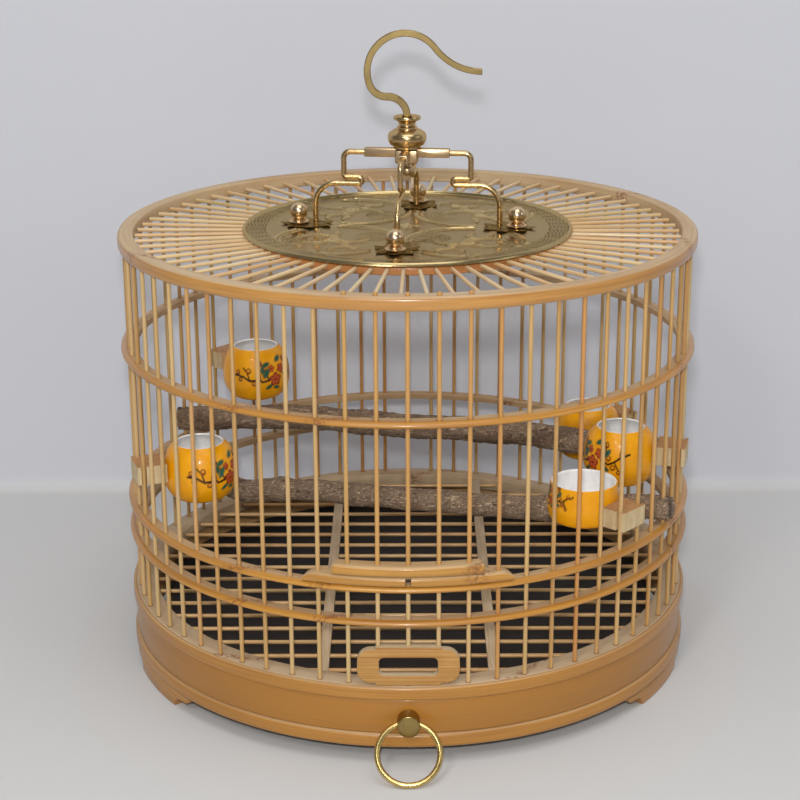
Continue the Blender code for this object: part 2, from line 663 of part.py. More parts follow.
def build_drawer(dark_wood, board, brass):
    """Build the drawer front, its tray, the knob and the knob's nut."""
    slide = make_pivot("drawer_slide", (0.0, -BAND_OUTER_RADIUS, KNOB_HEIGHT))
    joint = math.degrees(SEAT_GAP / BAND_OUTER_RADIUS)
    end = DRAWER_HALF_ANGLE - joint
    band = (
        (BAND_INNER_RADIUS, BAND_BASE), (BAND_OUTER_RADIUS, BAND_BASE),
        (BAND_OUTER_RADIUS, BAND_TOP), (BAND_INNER_RADIUS, BAND_TOP),
    )
    front = arc_piece("drawer_front", band, arc_azimuths(-end, end, BASE_PITCH), dark_wood)

    tray = build_tray(board)

    back = -BAND_OUTER_RADIUS - SEAT_GAP
    inside = KNOB_NUT_THICKNESS - BAND_INNER_RADIUS
    profile = (
        (0.0, inside - back), (KNOB_SHANK_RADIUS, inside - back), (KNOB_SHANK_RADIUS, 0.0),
        (KNOB_RADIUS, 0.0), (KNOB_RADIUS, KNOB_EDGE - KNOB_LENGTH),
        (KNOB_RADIUS - KNOB_EDGE, -KNOB_LENGTH), (0.0, -KNOB_LENGTH),
    )
    bm = bmesh.new()
    add_turned(bm, profile, KNOB_SEGMENTS)
    stand = Matrix.Translation((0.0, back, KNOB_HEIGHT)) @ Matrix.Rotation(-math.pi / 2, 4, "X")
    bmesh.ops.transform(bm, matrix=stand, verts=bm.verts)
    knob = finish("knob", bm, brass)

    hole_y = back - RING_HOLE_SETBACK
    overrun = KNOB_RADIUS + CUT_OVERRUN
    bm = bmesh.new()
    left = Vector((-overrun, hole_y, KNOB_HEIGHT))
    right = Vector((overrun, hole_y, KNOB_HEIGHT))
    add_rod(bm, left, right, RING_HOLE_RADIUS, 2 * RING_SIDES)
    cross_hole = make_cutter("knob_cross_hole", bm)

    bm = bmesh.new()
    shank_hole = KNOB_SHANK_RADIUS + SEAT_GAP
    outer = Vector((0.0, -BAND_OUTER_RADIUS - CUT_OVERRUN, KNOB_HEIGHT))
    inner = Vector((0.0, -BAND_INNER_RADIUS + KNOB_NUT_THICKNESS + CUT_OVERRUN, KNOB_HEIGHT))
    add_rod(bm, outer, inner, shank_hole / math.cos(math.pi / BOLT_SEGMENTS), BOLT_SEGMENTS)
    shank_cut = make_cutter("knob_shank_hole", bm)

    bm = bmesh.new()
    wall = BAND_INNER_RADIUS * math.cos(math.pi / BASE_SEGMENTS)
    nut_start = Vector((0.0, SEAT_GAP - wall, KNOB_HEIGHT))
    nut_end = nut_start + Vector((0.0, KNOB_NUT_THICKNESS, 0.0))
    add_rod(bm, nut_start, nut_end, KNOB_NUT_HALF_WIDTH, 6)
    nut = finish("knob_nut", bm, brass, smooth=False)

    for item in (front, tray, knob, nut):
        hang_on(slide, item)
    cut(front, shank_cut)
    cut(nut, shank_cut)
    cut(knob, cross_hole)
    return slide, Vector((0.0, hole_y, KNOB_HEIGHT))


def tray_outline(radius, half_width, height):
    """Return the tray's edge: two arcs joined by two straight sides."""
    limit = math.degrees(math.asin(half_width / radius))
    front = [polar(radius, azimuth, height) for azimuth in arc_azimuths(-limit, limit, BASE_PITCH)]
    rear = [Vector((-point.x, -point.y, point.z)) for point in front]
    return front + rear


def build_tray(board):
    """Build the board that slides under the grate, with its low rim."""
    base = LOWER_HOOP_TOP + SEAT_GAP
    top = base + TRAY_THICKNESS
    rim = top + TRAY_RIM_HEIGHT
    inner_radius = TRAY_RADIUS - TRAY_RIM_WIDTH
    inner_half = TRAY_HALF_WIDTH - TRAY_RIM_WIDTH
    bm = bmesh.new()
    loft(bm, [
        tray_outline(inner_radius, inner_half, top), tray_outline(inner_radius, inner_half, rim),
        tray_outline(TRAY_RADIUS, TRAY_HALF_WIDTH, rim), tray_outline(TRAY_RADIUS, TRAY_HALF_WIDTH, base),
    ])
    return finish("drawer_tray", bm, board)


def build_pull_ring(drawer_slide, hole, brass):
    """Build the ring in the knob's hole, leaning out until it meets the floor."""
    pivot = make_pivot("ring_hinge", hole - drawer_slide.location)
    pivot.parent = drawer_slide
    half_hole = math.asin(KNOB_RADIUS / RING_MAJOR_RADIUS)
    lift = RING_MAJOR_RADIUS * (1.0 - math.cos(half_hole)) / 2
    reach = 2 * RING_MAJOR_RADIUS - lift
    lean = math.acos((KNOB_HEIGHT - RING_WIRE_RADIUS - SEAT_GAP) / reach)
    bm = bmesh.new()
    loops = []
    for step in range(RING_SEGMENTS):
        around = math.tau * step / RING_SEGMENTS
        loop = []
        for side in range(RING_SIDES):
            across = math.tau * side / RING_SIDES
            radius = RING_MAJOR_RADIUS + RING_WIRE_RADIUS * math.cos(across)
            drop = radius * math.cos(around) - RING_MAJOR_RADIUS + lift
            loop.append((radius * math.sin(around), RING_WIRE_RADIUS * math.sin(across), drop))
        loops.append(loop)
    loft(bm, loops, closed=True)
    ring = finish("pull_ring", bm, brass)
    ring.parent = pivot
    ring.data.transform(Matrix.Rotation(-lean, 4, "X"))


def build_roof(dark_wood, plate_brass):
    """Build the wooden ring with its spokes, and the brass plate on it."""
    spoke_height = TOP_HOOP_BASE + SPOKE_LIFT
    outer = TOP_HOOP_INNER_RADIUS * math.cos(math.pi / TOP_HOOP_SEGMENTS) - SEAT_GAP
    outer = math.sqrt(outer ** 2 - SPOKE_RADIUS ** 2)
    spokes = bmesh.new()
    for step in range(SPOKE_COUNT):
        azimuth = SPOKE_PHASE + step * 360.0 / SPOKE_COUNT
        start = polar(ROOF_RING_OUTER_RADIUS - SPOKE_SEAT_DEPTH, azimuth, spoke_height)
        end = polar(outer, azimuth, spoke_height)
        add_rod(spokes, start, end, SPOKE_RADIUS, SPOKE_SIDES)
    outline = rounded_outline(
        ROOF_RING_INNER_RADIUS, ROOF_RING_OUTER_RADIUS, TOP_HOOP_BASE, ROOF_RING_TOP, ROOF_RING_ROUND,
    )
    ring = turned("roof_ring", outline, ROOF_SEGMENTS, dark_wood)
    cut(ring, make_cutter("spoke_set", spokes), "UNION")

    rim_inner = PLATE_RADIUS - PLATE_RIM_WIDTH
    rim_middle = PLATE_RADIUS - PLATE_RIM_WIDTH / 2
    rim_top = PLATE_BASE + PLATE_RIM_HEIGHT
    profile = (
        (0.0, PLATE_TOP), (rim_inner, PLATE_TOP),
        (rim_inner + PLATE_RIM_ROLL, rim_top - PLATE_RIM_ROLL), (rim_middle, rim_top),
        (PLATE_RADIUS, PLATE_TOP), (PLATE_RADIUS - PLATE_THICKNESS, PLATE_BASE), (0.0, PLATE_BASE),
    )
    plate = turned("roof_plate", profile, ROOF_SEGMENTS, plate_brass)

    bm = bmesh.new()
    hole_radius = BOLT_HOLE_RADIUS / math.cos(math.pi / BAR_SIDES)
    for azimuth in arm_azimuths():
        low = polar(BOLT_CIRCLE_RADIUS, azimuth, TOP_HOOP_BASE - CUT_OVERRUN)
        high = polar(BOLT_CIRCLE_RADIUS, azimuth, PETAL_TOP + CUT_OVERRUN)
        add_rod(bm, low, high, hole_radius, BAR_SIDES)
    holes = make_cutter("bolt_holes", bm)
    cut(ring, holes)
    cut(plate, holes)
    return holes


def arm_azimuths():
    """Return the azimuths of the four hanger arms."""
    return [step * 360.0 / ARM_COUNT + HANGER_TURN for step in range(ARM_COUNT)]


def arm_names():
    """Return the side that each hanger arm points to."""
    return ("front", "right", "back", "left")


def petal_outline():
    """Return the lobed edge of one foot plate, lengthwise along Y."""
    count = 2 * PETAL_LOBES
    outline = []
    for step in range(count):
        angle = math.tau * step / count
        share = 1.0 - (PETAL_LOBE_SHARE if step % 2 else 0.0)
        across = share * PETAL_WIDTH / 2 * math.sin(angle)
        along = share * PETAL_LENGTH / 2 * math.cos(angle)
        outline.append((across, -along, 0.0))
    return outline


def build_petals(holes, brass):
    """Build the thin lobed plates under the four arms."""
    centre = PETAL_INNER_RADIUS + PETAL_LENGTH / 2
    for side, azimuth in zip(arm_names(), arm_azimuths()):
        bm = bmesh.new()
        add_prism(bm, petal_outline(), (0.0, 0.0, PETAL_THICKNESS))
        petal = finish("petal_" + side, bm, brass, smooth=False)
        petal.location = polar(centre, azimuth, PETAL_BASE)
        petal.rotation_euler.z = math.radians(azimuth)
        cut(petal, holes)


def build_bolts(brass):
    """Build the four ball-headed bolts and the nuts under the wooden ring."""
    seat = PETAL_TOP + SEAT_GAP
    nut_top = TOP_HOOP_BASE - SEAT_GAP
    nut_base = nut_top - UNDER_NUT_THICKNESS
    profile = [(0.0, nut_base - SEAT_GAP), (BOLT_SHANK_RADIUS, nut_base - SEAT_GAP)]
    profile += [(BOLT_SHANK_RADIUS, seat), (BOLT_FLANGE_RADIUS, seat)]
    for radius, height in BOLT_HEAD_SHARES:
        profile.append((radius * BOLT_BALL_RADIUS, seat + height * BOLT_HEAD_HEIGHT))
    profile.append((0.0, seat + BOLT_HEAD_HEIGHT))
    hole_radius = BOLT_HOLE_RADIUS / math.cos(math.pi / BAR_SIDES)
    for side, azimuth in zip(arm_names(), arm_azimuths()):
        place = polar(BOLT_CIRCLE_RADIUS, azimuth, 0.0)
        bolt = turned("ball_bolt_" + side, profile, BOLT_SEGMENTS, brass)
        bolt.location = place
        low = place + Vector((0.0, 0.0, nut_base))
        high = place + Vector((0.0, 0.0, nut_top))
        overrun = Vector((0.0, 0.0, CUT_OVERRUN))
        body = bmesh.new()
        add_rod(body, low, high, UNDER_NUT_HALF_WIDTH, 6)
        nut = finish("under_nut_" + side, body, brass, smooth=False)
        core = bmesh.new()
        add_rod(core, low - overrun, high + overrun, hole_radius, BAR_SIDES)
        cut(nut, make_cutter("nut_bore_" + side, core))


def bend_points(start, bends, step_angle):
    """Return a plane route of tangent arcs that sets out upwards."""
    place = Vector(start)
    points = [place]
    heading = math.pi / 2
    for radius, turn in bends:
        side = 1.0 if turn > 0.0 else -1.0
        count = max(2, round(abs(turn) / step_angle))
        centre = place + side * radius * Vector((-math.sin(heading), math.cos(heading)))
        first = heading
        for step in range(1, count + 1):
            heading = first + math.radians(turn) * step / count
            points.append(centre + side * radius * Vector((math.sin(heading), -math.cos(heading))))
        place = points[-1]
    return points


def arm_route():
    """Return one arm's route as distance from the axis and height."""
    start = CROSS_REACH - CROSS_BORE_DEPTH + SEAT_GAP
    top = CROSS_ARM_HEIGHT
    upper = top - ARM_HAIRPIN_DROP
    lower = upper - ARM_HAIRPIN_PITCH
    half = ARM_HAIRPIN_PITCH / 2
    route = [(start, top)]
    bend = ARM_SHOULDER_BEND
    shoulder = ARM_SHOULDER_REACH
    for step in range(4):
        angle = math.radians(90.0 - 30.0 * step)
        route.append((shoulder - bend + bend * math.cos(angle), top - bend + bend * math.sin(angle)))
    for step in range(3):
        angle = math.radians(45.0 * step)
        route.append((shoulder - half + half * math.cos(angle), upper + half - half * math.sin(angle)))
    for step in range(5):
        angle = math.radians(90.0 + 45.0 * step)
        route.append((ARM_HAIRPIN_REACH + half * math.cos(angle), lower + half + half * math.sin(angle)))
    bend = ARM_FOOT_BEND
    for step in range(5):
        angle = math.radians(90.0 - 22.5 * step)
        route.append((ARM_REACH - bend + bend * math.cos(angle), lower - bend + bend * math.sin(angle)))
    route.append((ARM_REACH, PETAL_TOP + SEAT_GAP))
    return route


def build_arms(brass):
    """Build the four bent arms between the cross and the petals."""
    for side, azimuth in zip(arm_names(), arm_azimuths()):
        points = [polar(reach, azimuth, height) for reach, height in arm_route()]
        level = polar(1.0, azimuth + 90.0, 0.0)
        bm = bmesh.new()
        loops = []
        for place, point in enumerate(points):
            before = points[max(place - 1, 0)]
            after = points[min(place + 1, len(points) - 1)]
            along = (after - before).normalized()
            rise = along.cross(level).normalized()
            loop = []
            for step in range(ARM_SIDES):
                angle = math.tau * step / ARM_SIDES
                loop.append(point + ARM_RADIUS * (math.cos(angle) * level + math.sin(angle) * rise))
            loops.append(loop)
        loft(bm, loops)
        finish("arm_" + side, bm, brass)


def build_cross(brass):
    """Build the cross whose four square sleeves hold the arms."""
    half = CROSS_SLEEVE_HALF
    reach = CROSS_REACH
    outline = []
    for turn in range(4):
        spin = Matrix.Rotation(turn * math.pi / 2, 4, "Z")
        for corner in ((half, -half), (reach, -half), (reach, half)):
            outline.append(spin @ Vector((*corner, -half)))
    bm = bmesh.new()
    add_prism(bm, outline, (0.0, 0.0, 2 * half))
    cross = finish("hanger_cross", bm, brass, smooth=False)

    core = bmesh.new()
    loops = []
    for size, height in ((CROSS_CORE_FOOT_HALF, -CROSS_CORE_DEPTH), (CROSS_CORE_HALF, -half), (CROSS_CORE_HALF, half - SEAT_GAP)):
        loops.append([Vector((x * size, y * size, height)) for x, y in ((-1, -1), (1, -1), (1, 1), (-1, 1))])
    loft(core, loops)
    core_body = make_cutter("cross_core", core)

    bores = bmesh.new()
    bore_radius = (ARM_RADIUS + SEAT_GAP) / math.cos(math.pi / ARM_SIDES)
    for turn in range(4):
        direction = Matrix.Rotation(turn * math.pi / 2, 4, "Z") @ Vector((1.0, 0.0, 0.0))
        start = direction * (reach - CROSS_BORE_DEPTH)
        end = direction * (reach + CUT_OVERRUN)
        add_rod(bores, start, end, bore_radius, ARM_SIDES)
    bore_body = make_cutter("cross_bores", bores)
    for item in (cross, core_body, bore_body):
        item.location.z = CROSS_ARM_HEIGHT
        item.rotation_euler.z = math.radians(HANGER_TURN)
    cut(cross, core_body, "UNION")
    cut(cross, bore_body)


def build_hub(brass):
    """Build the turned hub over the cross and the ball finial under it."""
    profile = [(radius * HUB_RADIUS, HUB_BASE + height * HUB_HEIGHT) for radius, height in HUB_SHARES]
    dish = HUB_BASE + HUB_HEIGHT * (1.0 - HUB_DISH_SHARE)
    ceiling = HUB_BASE + HUB_CAVITY_HEIGHT
    profile += [
        (HUB_BORE_RADIUS, dish), (HUB_BORE_RADIUS, ceiling), (HUB_CAVITY_RADIUS, ceiling),
        (HUB_CAVITY_RADIUS, HUB_BASE),
    ]
    turned("hub", profile, HUB_SEGMENTS, brass)

    top = CROSS_FOOT - SEAT_GAP
    neck = top - FINIAL_NECK_LENGTH
    profile = [(0.0, top), (FINIAL_RADIUS, top), (FINIAL_NECK_RADIUS, (top + neck) / 2)]
    centre = neck - math.sqrt(FINIAL_RADIUS ** 2 - FINIAL_NECK_RADIUS ** 2)
    first = math.degrees(math.acos(FINIAL_NECK_RADIUS / FINIAL_RADIUS))
    for step in range(5):
        angle = math.radians(first - (first + 90.0) * step / 5)
        profile.append((FINIAL_RADIUS * math.cos(angle), centre + FINIAL_RADIUS * math.sin(angle)))
    profile.append((0.0, centre - FINIAL_RADIUS))
    turned("hub_finial", profile, BOLT_SEGMENTS, brass)


def build_hook(brass):
    """Build the square hook and the head that turns inside the hub."""
    hub_top = HUB_BASE + HUB_HEIGHT
    swivel = make_pivot("hook_swivel", (0.0, 0.0, hub_top))
    head_top = HUB_BASE + HUB_CAVITY_HEIGHT - SEAT_GAP
    head_foot = head_top - HOOK_HEAD_THICKNESS
    route = bend_points((0.0, hub_top), HOOK_BENDS, HOOK_STEP_ANGLE)
    stem = [Vector((0.0, head_foot)), Vector((0.0, head_top)), Vector((0.0, head_top))]
    places = stem + route
    halves = [HOOK_HEAD_HALF_WIDTH] * 2 + [HOOK_HALF_WIDTH] * (len(places) - 2)
    loops = []
    for index, (place, half) in enumerate(zip(places, halves)):
        if index <= len(stem):
            along = Vector((0.0, 1.0))
        else:
            after = places[min(index + 1, len(places) - 1)]
            along = (after - places[index - 1]).normalized()
        normal = Vector((-along.y, along.x))
        loop = []
        for out, depth in ((-1, -1), (1, -1), (1, 1), (-1, 1)):
            point = place + out * half * normal
            loop.append(Vector((point.x, depth * half, point.y)))
        loops.append(loop)
    bm = bmesh.new()
    loft(bm, loops)
    hang_on(swivel, finish("hook", bm, brass))


def cup_profile(radius, height, outer_shares, inner_shares):
    """Return a cup's outline from its foot over the rim to its floor."""
    profile = [(0.0, 0.0)]
    profile += [(share * radius, rise * height) for share, rise in outer_shares]
    profile += [(share * radius, rise * height) for share, rise in inner_shares]
    profile.append((0.0, inner_shares[-1][1] * height))
    return profile


def radius_between(outer_shares, radius, height, low, high):
    """Return the largest radius of a cup between two heights above its foot."""
    best = 0.0
    marks = [low, high] + [rise * height for _, rise in outer_shares if low < rise * height < high]
    for mark in marks:
        for (share_a, rise_a), (share_b, rise_b) in zip(outer_shares, outer_shares[1:]):
            start, end = rise_a * height, rise_b * height
            if start <= mark <= end:
                blend = (mark - start) / (end - start)
                best = max(best, radius * (share_a + blend * (share_b - share_a)))
    return best


def block_outline(inner):
    """Return a wall block's plan with the grooves that grip two bars."""
    centre = BAR_CIRCLE_RADIUS * math.cos(math.radians(BAR_PITCH / 2))
    beside = BAR_CIRCLE_RADIUS * math.sin(math.radians(BAR_PITCH / 2))
    groove = beside - BAR_HOLE_HALF
    half = BLOCK_WIDTH / 2
    side = [
        (inner, half), (centre - BAR_HOLE_HALF, half), (centre - BAR_HOLE_HALF, groove),
        (centre + BAR_HOLE_HALF, groove), (centre + BAR_HOLE_HALF, half),
        (BLOCK_OUTER_RADIUS - BLOCK_CHAMFER / 4, half), (BLOCK_OUTER_RADIUS, half - BLOCK_CHAMFER),
    ]
    return side + [(reach, -across) for reach, across in reversed(side)]


def build_cups(glaze, block_wood):
    """Build the five cups and the blocks that clamp them to the wall."""
    for name, (space, rim_height, setback) in CUP_PLACES.items():
        distance = BAR_CIRCLE_RADIUS - setback
        low = name.endswith("low")
        radius = LOW_CUP_RADIUS if low else CUP_RADIUS
        height = LOW_CUP_HEIGHT if low else CUP_HEIGHT
        outer = LOW_CUP_OUTER_SHARES if low else CUP_OUTER_SHARES
        inner = LOW_CUP_INNER_SHARES if low else CUP_INNER_SHARES
        azimuth = space * BAR_PITCH
        cup = turned(name, cup_profile(radius, height, outer, inner), CUP_SEGMENTS, glaze)
        cup.location = polar(distance, azimuth, rim_height - height)

        top = height - BLOCK_RIM_DROP
        base = top - BLOCK_HEIGHT
        reach = distance + radius_between(outer, radius, height, base, top) + SEAT_GAP
        bm = bmesh.new()
        outline = [(across, -out, 0.0) for out, across in block_outline(reach)]
        add_prism(bm, outline, (0.0, 0.0, BLOCK_HEIGHT))
        block = finish(name.replace("cup", "block"), bm, block_wood, smooth=False)
        block.location.z = rim_height - BLOCK_RIM_DROP - BLOCK_HEIGHT
        block.rotation_euler.z = math.radians(azimuth)


def smooth_route(points, steps):
    """Return a rounded route through the given points."""
    route = []
    for place in range(len(points) - 1):
        before = points[max(place - 1, 0)]
        start, end = points[place], points[place + 1]
        after = points[min(place + 2, len(points) - 1)]
        for step in range(steps):
            t = step / steps
            route.append(
                0.5 * ((2.0 * start) + (end - before) * t
                       + (2.0 * before - 5.0 * start + 4.0 * end - after) * t ** 2
                       + (3.0 * start - before - 3.0 * end + after) * t ** 3)
            )
    route.append(points[-1])
    return route


def build_perch(name, bars, shares, radius, height, end_rise, bark):
    """Build one branch whose forked ends sit on two wall bars."""
    thickness = 2 * radius
    inner = [
        Vector((x * BAR_CIRCLE_RADIUS, y * BAR_CIRCLE_RADIUS, height + rise * thickness))
        for x, y, rise in shares
    ]
    ends = [bar_point(bars[0], height), bar_point(bars[1], height + end_rise * thickness)]
    points = [ends[0], *inner, ends[1]]
    for tip, neighbour, place in ((points[0], inner[0], 0), (points[-1], inner[-1], -1)):
        outward = tip - neighbour
        outward.z = 0.0
        points[place] = tip + PERCH_OVERHANG * outward.normalized()
    route = smooth_route(points, 2)
    last = len(route) - 1
    radii = []
    for place in range(last + 1):
        swell = math.sin(2.4 * place) * math.sin(math.pi * place / last) * PERCH_SWELL_SHARE
        radii.append(radius * (1.0 + swell))
    bm = bmesh.new()
    add_tube(bm, route, radii, PERCH_SIDES, Vector((0.0, 0.0, 1.0)))
    branch = finish(name, bm, bark)

    slots = bmesh.new()
    for tip, neighbour, bar in ((points[0], inner[0], ends[0]), (points[-1], inner[-1], ends[1])):
        outward = tip - neighbour
        outward.z = 0.0
        outward.normalize()
        across = Vector((-outward.y, outward.x, 0.0)) * BAR_HOLE_HALF
        drop = Vector((0.0, 0.0, thickness))
        near = bar - BAR_HOLE_HALF * outward - drop
        far = tip + CUT_OVERRUN * outward
        far.z = near.z
        outline = (near - across, far - across, far + across, near + across)
        add_prism(slots, outline, 2 * drop)
    cut(branch, make_cutter(name + "_slots", slots))


def main():
    """Build the whole cage."""
    clear_scene()
    bamboo = make_material("bamboo", (0.72, 0.50, 0.24), 0.45)
    honey_bamboo = make_material("honey_bamboo", (0.62, 0.33, 0.11), 0.35)
    tan_board = make_material("tan_board", (0.60, 0.33, 0.16), 0.5)
    dark_board = make_material("dark_board", (0.03, 0.028, 0.025), 0.5)
    brass = make_material("polished_brass", (0.80, 0.60, 0.26), 0.18, 1.0)
    old_brass = make_material("old_brass", (0.55, 0.45, 0.25), 0.35, 1.0)
    glaze = make_material("yellow_glaze", (0.90, 0.50, 0.04), 0.15)
    block_wood = make_material("block_wood", (0.68, 0.50, 0.32), 0.6)
    bark = make_material("bark", (0.14, 0.09, 0.06), 0.85)

    build_feet(honey_bamboo)
    build_base(bamboo, honey_bamboo)
    build_grate(bamboo)
    build_wall(bamboo, honey_bamboo)
    build_sill(honey_bamboo)
    build_door(bamboo, honey_bamboo)
    build_port_plate(tan_board)
    drawer_slide, ring_hole = build_drawer(honey_bamboo, dark_board, brass)
    build_pull_ring(drawer_slide, ring_hole, brass)
    holes = build_roof(honey_bamboo, old_brass)
    build_petals(holes, brass)
    build_bolts(brass)
    build_cross(brass)
    build_arms(brass)
    build_hub(brass)
    build_hook(brass)
    build_cups(glaze, block_wood)
    build_perch(
        "perch_rear", PERCH_REAR_BARS, PERCH_REAR_SHARES, PERCH_REAR_RADIUS, PERCH_REAR_HEIGHT,
        PERCH_REAR_END_RISE_SHARE, bark,
    )
    build_perch(
        "perch_front", PERCH_FRONT_BARS, PERCH_FRONT_SHARES, PERCH_FRONT_RADIUS,
        PERCH_FRONT_HEIGHT, PERCH_FRONT_END_RISE_SHARE, bark,
    )


main()
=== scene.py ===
"""Looks of a round bamboo bird cage with a brass hanger, a drawer, two perches and five cups.

The cage stands on its feet with its axis on Z and its front towards -Y. Azimuths are in
degrees from the front towards +X. All lengths are in metres, but the materials reckon in
millimetres, which suit their grain.
"""

import logging
import math
from collections.abc import Callable, Iterable, Iterator, Sequence
from dataclasses import dataclass, field
from enum import Enum
from typing import Any

import bmesh
import bpy
import numpy as np
from mathutils import Matrix, Vector, noise

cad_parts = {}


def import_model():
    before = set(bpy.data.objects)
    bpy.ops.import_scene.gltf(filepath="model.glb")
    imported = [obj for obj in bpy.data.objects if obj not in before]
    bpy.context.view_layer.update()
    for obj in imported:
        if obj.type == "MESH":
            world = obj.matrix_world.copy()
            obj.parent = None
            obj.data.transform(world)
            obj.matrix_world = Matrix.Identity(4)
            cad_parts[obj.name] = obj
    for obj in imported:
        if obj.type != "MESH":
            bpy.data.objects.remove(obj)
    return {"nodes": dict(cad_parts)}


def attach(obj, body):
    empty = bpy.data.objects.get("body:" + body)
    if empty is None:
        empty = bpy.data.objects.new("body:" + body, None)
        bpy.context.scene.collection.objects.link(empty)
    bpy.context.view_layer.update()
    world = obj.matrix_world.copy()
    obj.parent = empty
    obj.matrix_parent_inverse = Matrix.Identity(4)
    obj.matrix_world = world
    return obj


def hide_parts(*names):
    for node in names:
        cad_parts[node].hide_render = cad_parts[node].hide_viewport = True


LOG = logging.getLogger("bird cage")

Point = tuple[float, float]
Piece = bpy.types.Object
Finish = bpy.types.Material

MILLIMETRES = 1000.0
DOUBLES = 0.000002
DOOR_BARS = range(-2, 3)
BAR_CIRCLE = 180.0
BAR_PITCH = 360.0 / 64.0


class Body(Enum):
    """Bodies that the pieces ride on."""

    CAGE = "cage"
    DOOR = "door"
    DRAWER = "drawer"
    RING = "pull_ring"
    HOOK = "hook"


class Grain(Enum):
    """Ways in which the fibres of a piece may run."""

    UP = "up"
    ROUND = "round"
    RADIAL = "radial"
    ACROSS = "across"
    ALONG = "along"

    def shares(self, across: float, along: float) -> tuple[float, ...]:
        """Return the noise scales along X, Y and Z of fibres that run straight."""
        return tuple(along if axis is self else across for axis in (Grain.ACROSS, Grain.ALONG, Grain.UP))


def polar(radius: float, azimuth: float, height: float) -> Vector:
    """Return the point at a radius, an azimuth in degrees and a height."""
    angle = math.radians(azimuth)
    return Vector((radius * math.sin(angle), -radius * math.cos(angle), height))


def paint(code: str) -> tuple[float, float, float, float]:
    """Return the scene-linear colour of a six-digit sRGB code."""
    channels = [int(code[start:start + 2], 16) / 255.0 for start in (0, 2, 4)]
    linear = [c / 12.92 if c <= 0.04045 else ((c + 0.055) / 1.055) ** 2.4 for c in channels]
    return (linear[0], linear[1], linear[2], 1.0)


# Node trees


class Wire:
    """One value in a material's node tree, with arithmetic written as operators."""

    def __init__(self, graph: "Graph", socket: bpy.types.NodeSocket) -> None:
        """Keep the tree and the output socket that carries the value."""
        self.graph = graph
        self.socket = socket

    def reckon(self, operation: str, *operands: Any) -> "Wire":
        """Return a Math node's result for two operands, or for this value and one more or none."""
        given = operands if len(operands) == 2 else (self, *operands)
        return self.graph.take("ShaderNodeMath", {"operation": operation}, dict(enumerate(given)))

    def __add__(self, other: Any) -> "Wire":
        """Return the sum."""
        return self.reckon("ADD", other)

    def __radd__(self, other: float) -> "Wire":
        """Return the sum with a number on the left."""
        return self.reckon("ADD", other, self)

    def __sub__(self, other: Any) -> "Wire":
        """Return the difference."""
        return self.reckon("SUBTRACT", other)

    def __rsub__(self, other: float) -> "Wire":
        """Return a number less this value."""
        return self.reckon("SUBTRACT", other, self)

    def __mul__(self, other: Any) -> "Wire":
        """Return the product."""
        return self.reckon("MULTIPLY", other)

    def __rmul__(self, other: float) -> "Wire":
        """Return the product with a number on the left."""
        return self.reckon("MULTIPLY", other, self)

    def __truediv__(self, other: Any) -> "Wire":
        """Return the quotient."""
        return self.reckon("DIVIDE", other)

    def __pow__(self, other: Any) -> "Wire":
        """Return the power."""
        return self.reckon("POWER", other)

    def __neg__(self) -> "Wire":
        """Return the negative."""
        return self.reckon("MULTIPLY", -1.0, self)

    def size(self) -> "Wire":
        """Return the absolute value."""
        return self.reckon("ABSOLUTE")

    def whole(self) -> "Wire":
        """Return the nearest whole number."""
        return self.reckon("ROUND")

    def wave(self) -> "Wire":
        """Return the sine."""
        return self.reckon("SINE")

    def turn_to(self, other: "Wire") -> "Wire":
        """Return the angle whose tangent is this value over the other."""
        return self.reckon("ARCTAN2", other)

    def root(self) -> "Wire":
        """Return the square root."""
        return self.reckon("SQRT")

    def most(self, other: Any) -> "Wire":
        """Return the larger of two values."""
        return self.reckon("MAXIMUM", other)

    def rise(self, low: float, high: float) -> "Wire":
        """Return a smooth step from 0 at low to 1 at high; low may be the larger."""
        flip = float(low > high)
        inputs = {"Value": self, "From Min": min(low, high), "From Max": max(low, high),
                  "To Min": flip, "To Max": 1.0 - flip}
        return self.graph.take("ShaderNodeMapRange", {"interpolation_type": "SMOOTHSTEP"}, inputs)


@dataclass(frozen=True)
class Place:
    """Where a shaded point lies, in millimetres, as vector and parts."""

    vector: Wire
    x: Wire
    y: Wire
    z: Wire

    def radius(self) -> Wire:
        """Return the distance from the cage's axis."""
        return (self.x * self.x + self.y * self.y).root()

    def azimuth(self) -> Wire:
        """Return the azimuth in degrees, from -180 to 180."""
        return self.x.turn_to(-self.y) * (180.0 / math.pi)


